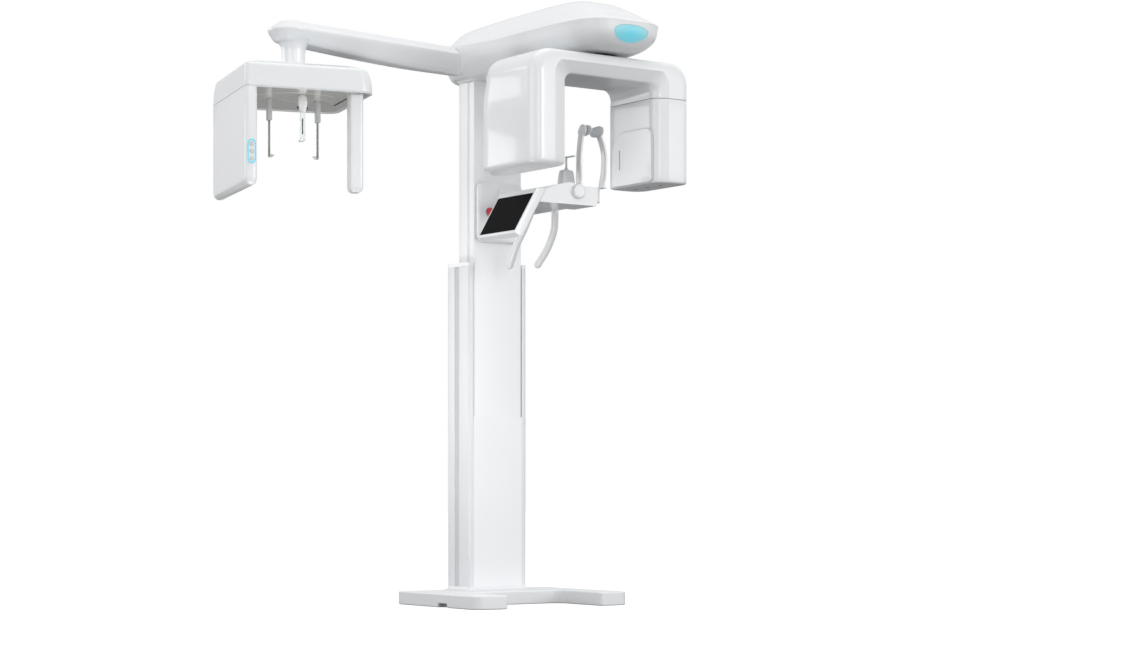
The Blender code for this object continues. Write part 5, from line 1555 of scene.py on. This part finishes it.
# ------------------------------------------------------------------ cephalometric side
@dataclass
class SideArm(Assembly):
    """Arm from the head to the cephalometric unit, with its trumpet-shaped neck."""

    turn: float = math.radians(7.0)
    tip_half: float = 0.085
    root_half: float = 0.056
    crease_z: float = 2.227
    reach: float = 0.880
    tip_lift: float = 0.030         # how much thinner the arm is over the neck
    nose: float = -0.018            # centre of the rounded tip, from the neck's axis
    head_rim: Level = (2.236, 0.206, 0.172, -1.0, 0.19, 0.036)  # the head's rim that the root fits

    def level(self, height: float, inset: float, floor: float) -> list[Spot]:
        """One plan outline of the arm, lifted near the tip.

        Args:
            height: the outline's Z at the root.
            inset: distance inwards.
            floor: the arm's lowest Z.

        Returns:
            The outline's points.
        """
        tip, root = self.tip_half - inset, self.root_half - inset
        end = self.nose - self.tip_half
        half = [(self.nose - tip * math.cos(turn), tip * math.sin(turn)) for turn in quarter(20)[:-1]]
        ribs = 28
        for i in range(ribs + 1):
            share = (i / ribs) ** 1.6
            x = end + (self.reach - end) * share
            if x > self.nose:
                half.append((x, tip + (root - tip) * share))
        outline = half + [(x, -y) for x, y in reversed(half[1:])]
        below = clamp((self.crease_z - height) / (self.crease_z - floor))
        out = []
        for x, y in outline:
            near = 1 - clamp((x + 0.02) / 0.60)
            out.append((x, y, height + self.tip_lift * below * near ** 1.4))
        return out

    def build(self) -> None:
        """Build and dress the arm and neck."""
        neck_low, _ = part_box("ceph_neck")
        low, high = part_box("ceph_arm")
        axis = middle("ceph_neck")[:2]
        place = Matrix.Translation((*axis, 0)) @ Matrix.Rotation(self.turn, 4, "Z")
        knots = [(low.z, 0.040), (low.z + 0.003, 0.031), (low.z + 0.014, 0.021), (low.z + 0.040, 0.010),
                 (self.crease_z - 0.012, 0.0015), (self.crease_z, 0.0)]
        crown = [(self.crease_z, 0.0), (self.crease_z + 0.008, 0.010), (self.crease_z + 0.016, 0.021),
                 (self.crease_z + 0.024, 0.034), (high.z, 0.050)]
        levels = curve_through(knots, 20) + curve_through(crown, 14)[1:]
        rings = [self.level(z, inset, low.z) for z, inset in levels]
        arm = moved(loft("side_arm_shell", rings, sharp=30), place)
        head = Head()
        hull = head.hull_knots()
        fit = 0.0008
        envelope = head.rings(hull[:1], -fit, fit, fit)
        envelope += head.rings([*hull[2:-1], self.head_rim, *head.dome[:3]], 0.0, fit, fit)
        combine(arm, loft("envelope", envelope))
        self.keep(arm, LACQUERED_ABS, Body.LIFT, "ceph_arm")
        flare = curve_through([(0.0500, neck_low.z), (0.0455, neck_low.z + 0.006),
                               (0.0440, neck_low.z + 0.022), (0.0442, 2.130), (0.0462, 2.155),
                               (0.0520, 2.171), (0.0630, 2.183), (0.0740, 2.192)], 44)
        profile = [(0.0, neck_low.z)] + list(flare) + [(0.0, 2.192)]
        neck = moved(turned("neck_trumpet", profile, 96, 60), Matrix.Translation((*axis, 0)))
        self.keep(neck, LACQUERED_CASTING, Body.LIFT, "ceph_neck")


@dataclass
class CephUnit(Assembly):
    """Housing with sensor block, positioner, nasion support and collimator post."""

    turn: float = math.radians(-14.35)
    left: float = -0.254
    right: float = 0.246
    half_depth: float = 0.278
    sensor_width: float = 0.047
    disc_radius: float = 0.172
    ear_reach: float = 0.0955
    ear_sleeve: float = 1.881
    nasion_v: float = -0.135
    post_u: float = 0.185
    post_v: float = -0.242
    post_size: Flat = (0.052, 0.062)
    key_u: float = -0.2315
    key_radius: float = 0.0085

    def __post_init__(self) -> None:
        """Find the unit's upright axis from its neck."""
        x, y, _ = middle("ceph_neck")
        self.place = Matrix.Translation((x, y, 0)) @ Matrix.Rotation(self.turn, 4, "Z")

    def fix(self, piece: Piece, finish: Finish, body: Body, *stands_for: str) -> Piece:
        """Move a piece from the unit's own axes into place and keep it."""
        return self.keep(moved(piece, self.place), finish, body, *stands_for)

    def plan(self, inset: float, steps: int = 12, end: float = 0.0, back: float = 0.0) -> list[Flat]:
        """Plan outline of the housing.

        Args:
            inset: distance inwards.
            steps: strips per corner.
            end: further distance inwards at the right end.
            back: further distance inwards at the rear.

        Returns:
            The outline.
        """
        right, rear = self.right - inset - end, self.half_depth - inset - back
        left, front = self.left + inset, -self.half_depth + inset
        corners = [(right, front), (right, rear), (left, rear), (left, front)]
        side, near = max(0.050 - inset, 0.006), max(0.018 - inset, 0.005)
        return fillet(corners, [side, side, near, near], steps)

    def build(self) -> None:
        """Build and dress the unit."""
        self.housing()
        self.underside()
        self.positioner()
        self.post()
        self.sensor()
        self.keys()

    def housing(self) -> None:
        """Crowned housing, hollow from below."""
        low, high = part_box("ceph_housing")
        edge = 2.042
        knots = [(low.z, 0.0030), (low.z + 0.0015, 0.0008), (low.z + 0.004, 0.0), (edge, 0.0),
                 (edge + 0.010, 0.006), (2.060, 0.030), (2.072, 0.080), (high.z, 0.150)]
        levels = curve_through(knots[:4], 10) + curve_through(knots[3:], 24)[1:]
        levels += [(low.z + 0.008 + (edge - low.z - 0.012) * k / 11, 0.0) for k in range(12)]
        levels.sort()
        rings = []
        for z, inset in levels:
            rise = clamp((z - low.z) / (high.z - low.z))
            curl = 1 - math.sqrt(1 - min(rise * 1.02, 1.0) ** 2)
            rings.append(spread(self.plan(inset, 12, 0.060 * curl, 0.160 * curl), z))
        shell = loft("ceph_shell", rings, sharp=40)
        inner = [(low.z - 0.05, 0.010), (low.z + 0.014, 0.014), (edge - 0.020, 0.120)]
        combine(shell, loft("hollow", [spread(self.plan(inset), z) for z, inset in inner]))
        self.fix(shell, LACQUERED_ABS, Body.LIFT, "ceph_housing")

    def underside(self) -> None:
        """Gloss sheet with the disc's hole and the post's slot."""
        low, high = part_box("ceph_underside")
        sheet = prism("underside_sheet", self.plan(0.0105), low.z + 0.0005, high.z)
        slot_u = self.post_u + self.post_size[0] / 2 - 0.026
        slot = block("slot", (slot_u - 0.005, self.post_v - 0.010, 1.9),
                     (slot_u + 0.005, self.post_v + 0.352, 2.0))
        combine(sheet, slot)
        combine(sheet, plug(self.disc_radius + 0.0010, 1.9, 2.0, 128))
        self.fix(sheet, GLOSS_SHEET, Body.LIFT, "ceph_underside")

    def positioner(self) -> None:
        """Flush disc with two rod slots, ear rods and the nasion support."""
        low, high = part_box("positioner_disc")
        radius, bevel = self.disc_radius, 0.0005
        disc = turned("positioner_plate", [(0.0, high.z), (radius, high.z), (radius, low.z + bevel),
                                           (radius - bevel, low.z), (0.0, low.z)], 128)
        for u in (-0.117, 0.117):
            outline = fillet(rectangle((u - 0.042, -0.0035), (u + 0.042, 0.0035)), 0.0034, 6)
            combine(disc, prism("slot", outline, low.z - 0.01, low.z + 0.0045))
        groove = turned("groove", rectangle((0.1022, low.z - 0.01), (0.1048, low.z + 0.0012)), 128)
        combine(disc, moved(groove, Matrix.Translation((0.047, -0.049, 0.0))))
        self.fix(disc, GLOSS_SHEET, Body.POSITIONER, "positioner_disc")
        for side, sign, body in (("left", -1, Body.EAR_LEFT), ("right", 1, Body.EAR_RIGHT)):
            self.ear_rod(side, sign, body)
        self.nasion()

    def ear_rod(self, side: str, sign: int, body: Body) -> None:
        """One ear rod: grey sleeve, clear blade with dark edge, and inward tip.

        Args:
            side: left or right.
            sign: -1 or 1 along the unit's width.
            body: the body that slides.
        """
        name = "ear_arm_" + side
        low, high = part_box(name)
        u = sign * self.ear_reach
        sleeve = fillet(rectangle((u - 0.0085, -0.016), (u + 0.0085, 0.016)), 0.004, 6)
        self.fix(soften(prism("ear_sleeve_" + side, sleeve, self.ear_sleeve, high.z), 0.0015, 3, 50),
                 GREY_ABS, body, name)
        rod = block("ear_blade_" + side, (u - 0.0028, -0.0085, low.z + 0.002),
                    (u + 0.0028, 0.0085, self.ear_sleeve + 0.002))
        foot = block("foot", (min(u, u - sign * 0.012), -0.0085, low.z + 0.002),
                     (max(u, u - sign * 0.012), 0.0085, low.z + 0.006))
        combine(rod, foot, Join.WELD)
        self.fix(soften(rod, 0.0008, 2, 50), CLEAR_ACRYLIC, body)
        core = block("ear_spine_" + side, (u - 0.0009, -0.0070, low.z + 0.004),
                     (u + 0.0009, 0.0070, self.ear_sleeve + 0.001))
        self.fix(soften(core, 0.0004, 2, 50), DARK_INSERT_AND_SLOT_SHADE, body)
        tip = turned("ear_plug_" + side, [(0.0, 0.0175), (0.0016, 0.0170), (0.0028, 0.0150),
                                          (0.0040, 0.0080), (0.0058, 0.0010), (0.0060, 0.0),
                                          (0.0, 0.0)], 40)
        moved(tip, facing((-sign, 0, 0), (u - sign * 0.0030, 0, low.z + 0.009)))
        self.fix(tip, GREY_ABS, body)

    def nasion(self) -> None:
        """Tapered holder with two small knobs and a clear slotted blade."""
        low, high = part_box("nasion_holder")
        blade_low, blade_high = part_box("nasion_blade")
        v = self.nasion_v
        rings = []
        knots = [(high.z, 0.0090, 0.0080), (high.z - 0.003, 0.0130, 0.0100),
                 (high.z - 0.012, 0.0165, 0.0112), (high.z - 0.030, 0.0185, 0.0116),
                 (low.z + 0.022, 0.0170, 0.0112), (low.z + 0.006, 0.0125, 0.0098),
                 (low.z, 0.0112, 0.0090)]
        for z, half_u, half_v in knots:
            rings.append(spread(oval((0.0, v), (half_u, half_v), 48, 0.6), z))
        self.fix(loft("nasion_cap", rings, sharp=50), LACQUERED_ABS, Body.NASION, "nasion_holder")
        for number, sign in enumerate((-1, 1), 1):
            knob = turned("nasion_knob_%d" % number, [(0.0, 0.0045), (0.0050, 0.0045), (0.0055, 0.0038),
                                                      (0.0055, 0.0), (0.0, 0.0)], 32)
            moved(knob, facing((sign, 0, 0), (sign * 0.0160, v, low.z + 0.018)))
            self.fix(knob, DARK_INSERT_AND_SLOT_SHADE, Body.NASION)
        tip = blade_low.z
        blade = block("nasion_blade_clear", (-0.0100, v - 0.0028, tip), (0.0100, v + 0.0028, blade_high.z))
        nose = block("nose", (-0.0075, v, tip), (0.0075, v + 0.030, tip + 0.010))
        combine(blade, nose, Join.WELD)
        outline = fillet(rectangle((-0.0026, tip + 0.025), (0.0026, tip + 0.085)), 0.0024, 6)
        combine(blade, prism("slot", outline, v - 0.02, v + 0.02, Plane.XZ))
        self.fix(soften(blade, 0.0010, 3, 50), CLEAR_ACRYLIC, Body.NASION, "nasion_blade")
        # Dark bar inside the blade's slot: painted shade for the shadow in the slot.
        lining = block("nasion_slot_shade", (-0.0020, v - 0.0012, tip + 0.026), (0.0020, v + 0.0012, tip + 0.084))
        self.fix(soften(lining, 0.0005, 2, 50), DARK_INSERT_AND_SLOT_SHADE, Body.NASION)

    def post(self) -> None:
        """Hanging collimator post with a rounded foot."""
        low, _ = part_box("collimator_post")
        width, depth = self.post_size
        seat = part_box("ceph_underside")[0].z - 0.0003
        skins = []
        for z, shrink in foot_levels(low.z, 0.026, 0.016) + [(seat, 0.0)]:
            half, near = width / 2 - shrink, shrink * 0.7
            outline = rectangle((self.post_u - half, self.post_v + near),
                                (self.post_u + half, self.post_v + depth - near))
            skins.append(spread(fillet(outline, max(0.0125 - shrink * 0.3, 0.004), 10), z))
        self.fix(loft("post_shell", skins, sharp=50), LACQUERED_ABS, Body.POST, "collimator_post")

    def sensor(self) -> None:
        """Flat block that hangs under the housing's left end."""
        low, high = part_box("sensor_block")
        near, far = self.left, self.left + self.sensor_width
        levels = foot_levels(low.z, 0.030, 0.020) + [(high.z - 0.0012, 0.0), (high.z, 0.0010)]
        skins = []
        for z, shrink in levels:
            edge, half = min(shrink, 0.019), self.half_depth - shrink
            outline = rectangle((near + edge, -half), (far - edge * 0.8, half))
            skins.append(spread(fillet(outline, max(0.018 - shrink * 0.7, 0.003), 10), z))
        self.fix(loft("sensor_shell", skins, sharp=50), LACQUERED_ABS, Body.LIFT, "sensor_block")
        self.dress(DARK_MOULDING_AND_SEAM_SHADE, "ceph_sensor")

    def keys(self) -> None:
        """Lit key panel with three round keys."""
        z_values = [middle("key_%d" % number)[2] for number in (1, 2, 3)]
        face = -self.half_depth - 0.0003
        half, low_z, high_z = 0.0155, min(z_values) - 0.0170, max(z_values) + 0.0170

        def stadium(inset: float) -> list[Flat]:
            """The panel's outline, shrunk by inset."""
            side = half - inset
            return fillet(rectangle((self.key_u - side, low_z + inset), (self.key_u + side, high_z - inset)),
                          side - 0.0002, 14)

        ring = prism("key_light_ring", stadium(0.0), face - 0.0026, face, Plane.XZ)
        combine(ring, prism("inner", stadium(0.0036), face - 0.01, face + 0.01, Plane.XZ))
        glow = LitLens("lit_cyan_ring", "grey_trim", "#159bae", "#1293a6", 0.30, 1.49, glow="#14dcf6",
                       edge="#14dcf6", reach=(1.0, 1.0, 1.0), strength=0.66)
        self.fix(ring, glow, Body.LIFT, "key_panel")
        plate = prism("key_plate", stadium(0.0038), face - 0.0020, face, Plane.XZ)
        r = self.key_radius
        for z in z_values:
            combine(plate, facing_front(plug(r + 0.0003, -0.02, 0.02, 48), (self.key_u, face, z)))
        self.fix(plate, LACQUERED_ABS, Body.LIFT)
        bodies = (Body.KEY_TOP, Body.KEY_MIDDLE, Body.KEY_BOTTOM)
        for number, (z, body) in enumerate(zip(z_values, bodies), 1):
            key = turned("key_cap_%d" % number, [(0.0, 0.0042), (r * 0.6, 0.0041), (r * 0.88, 0.0037),
                                                 (r, 0.0028), (r, 0.0014), (0.0, 0.0014)], 48, 60)
            self.fix(facing_front(key, (self.key_u, face, z)), GREY_ABS, body, "key_%d" % number)


# ------------------------------------------------------------------ studio
def seen_directly(tree: bpy.types.NodeTree) -> bpy.types.NodeSocket:
    """Tell rays that come from the camera, straight or through clear plastic.

    Args:
        tree: the node tree that takes the nodes.

    Returns:
        An output of one for such rays and nought for others.
    """
    path = add_node(tree, "ShaderNodeLightPath")
    either = add_node(tree, "ShaderNodeMath", operation="MAXIMUM",
                      links={0: path.outputs["Is Camera Ray"], 1: path.outputs["Is Transmission Ray"]})
    return either.outputs[0]


def hang_lamp(name: str, at: Spot, aim: Spot, size: Flat, power: float) -> None:
    """Hang one soft lamp.

    Args:
        name: the lamp's name.
        at: where it hangs.
        aim: the point it faces.
        size: width and height in metres.
        power: watts.
    """
    data = bpy.data.lights.new(name, "AREA")
    data.energy = power
    data.shape = "RECTANGLE"
    data.size, data.size_y = size
    lamp = bpy.data.objects.new(name, data)
    bpy.context.scene.collection.objects.link(lamp)
    lamp.location = at
    lamp.rotation_euler = (Vector(aim) - Vector(at)).to_track_quat("-Z", "Y").to_euler()


@dataclass
class Studio:
    """Pale floor, soft lamps and the camera."""

    picture: tuple[int, int] = (1133, 646)
    horizon: float = 485.5
    eye: Spot = (-5.4745, -8.2913, 0.4818)
    bearing: float = math.radians(-35.35)
    lens: float = 76.67
    sky: float = 0.78
    floor_size: float = 60.0

    def build(self) -> None:
        """Set up the world, floor, lamps and camera."""
        self.world()
        self.floor()
        hang_lamp("key_softbox", (2.4, -8.8, 2.2), (-0.1, -0.3, 1.1), (3.0, 3.0), 165.0)
        hang_lamp("front_sheen", (5.4, -8.0, 1.8), (0.0, -0.5, 1.2), (4.0, 4.0), 85.0)
        hang_lamp("top_softbox", (-0.6, -1.2, 5.6), (-0.3, -0.4, 1.2), (3.0, 3.0), 40.0)
        hang_lamp("side_softbox", (-7.0, -2.4, 2.6), (-0.2, -0.3, 1.8), (4.0, 4.0), 75.0)
        hang_lamp("side_sheen", (-5.4, 5.8, 2.9), (0.0, 0.0, 1.8), (4.0, 4.0), 115.0)
        hang_lamp("edge_strip", (-2.9, -9.0, 2.6), (-0.35, -0.85, 1.6), (0.35, 2.6), 34.0)
        hang_lamp("low_bounce", (-1.25, -0.55, 0.30), (-1.0, -0.2, 2.0), (1.0, 1.0), 12.0)
        self.camera()
        bpy.context.scene.view_settings.view_transform = "Standard"

    def world(self) -> None:
        """Even sky for light, plain white where it is seen directly or mirrored."""
        sky = bpy.data.worlds.new("studio_sky")
        bpy.context.scene.world = sky
        sky.use_nodes = True
        tree = sky.node_tree
        tree.nodes.clear()
        light = add_node(tree, "ShaderNodeBackground", {"Color": linear("#fcfdff"), "Strength": self.sky})
        plain = add_node(tree, "ShaderNodeBackground", {"Color": WHITE, "Strength": 1.0})
        both = add_node(tree, "ShaderNodeMixShader",
                        links={0: seen_directly(tree), 1: light.outputs[0], 2: plain.outputs[0]})
        add_node(tree, "ShaderNodeOutputWorld", links={"Surface": both.outputs[0]})

    def floor(self) -> None:
        """Pale floor that stays white but keeps a soft shadow."""
        half = self.floor_size / 2

        def build(shape: bmesh.types.BMesh) -> None:
            """A plain sheet."""
            corners = spread(rectangle((-half, -half), (half, half)), 0.0)
            shape.faces.new([shape.verts.new(corner) for corner in corners])

        sheet = solid("studio_floor", build)
        sheet.location.z = -0.0005
        paint = bpy.data.materials.new("matt_floor_paint")
        paint.use_nodes = True
        tree = paint.node_tree
        tree.nodes.clear()
        matt = add_node(tree, "ShaderNodeBsdfDiffuse", {"Color": linear("#7e7e7e")})
        pale = add_node(tree, "ShaderNodeBsdfDiffuse", {"Color": linear("#c8c8c8")})
        bright = add_node(tree, "ShaderNodeEmission", {"Color": WHITE, "Strength": 0.70})
        lit = add_node(tree, "ShaderNodeAddShader", links={0: pale.outputs[0], 1: bright.outputs[0]})
        both = add_node(tree, "ShaderNodeMixShader",
                        links={0: seen_directly(tree), 1: matt.outputs[0], 2: lit.outputs[0]})
        add_node(tree, "ShaderNodeOutputMaterial", links={"Surface": both.outputs[0]})
        sheet.data.materials.append(paint)

    def camera(self) -> None:
        """Level camera whose rise of frame keeps the uprights parallel."""
        data = bpy.data.cameras.new("studio_camera")
        data.lens = self.lens
        data.sensor_width = 36.0
        data.shift_y = (self.horizon - self.picture[1] / 2) / self.picture[0]
        data.clip_end = 200.0
        camera = bpy.data.objects.new("studio_camera", data)
        bpy.context.scene.collection.objects.link(camera)
        camera.location = self.eye
        camera.rotation_euler = (math.pi / 2, 0.0, self.bearing)
        bpy.context.scene.camera = camera


def main() -> None:
    """Build every sub-assembly in order and report its pieces."""
    logging.basicConfig(level=logging.INFO, format="%(message)s")
    Studio().build()
    for assembly in (Stand(), Mast(), ChinArm(), Head(), Rotor(), SideArm(), CephUnit()):
        assembly.build()
        log.info("%s: %s", type(assembly).__name__, ", ".join(assembly.made))


if __name__ == "__main__":
    main()
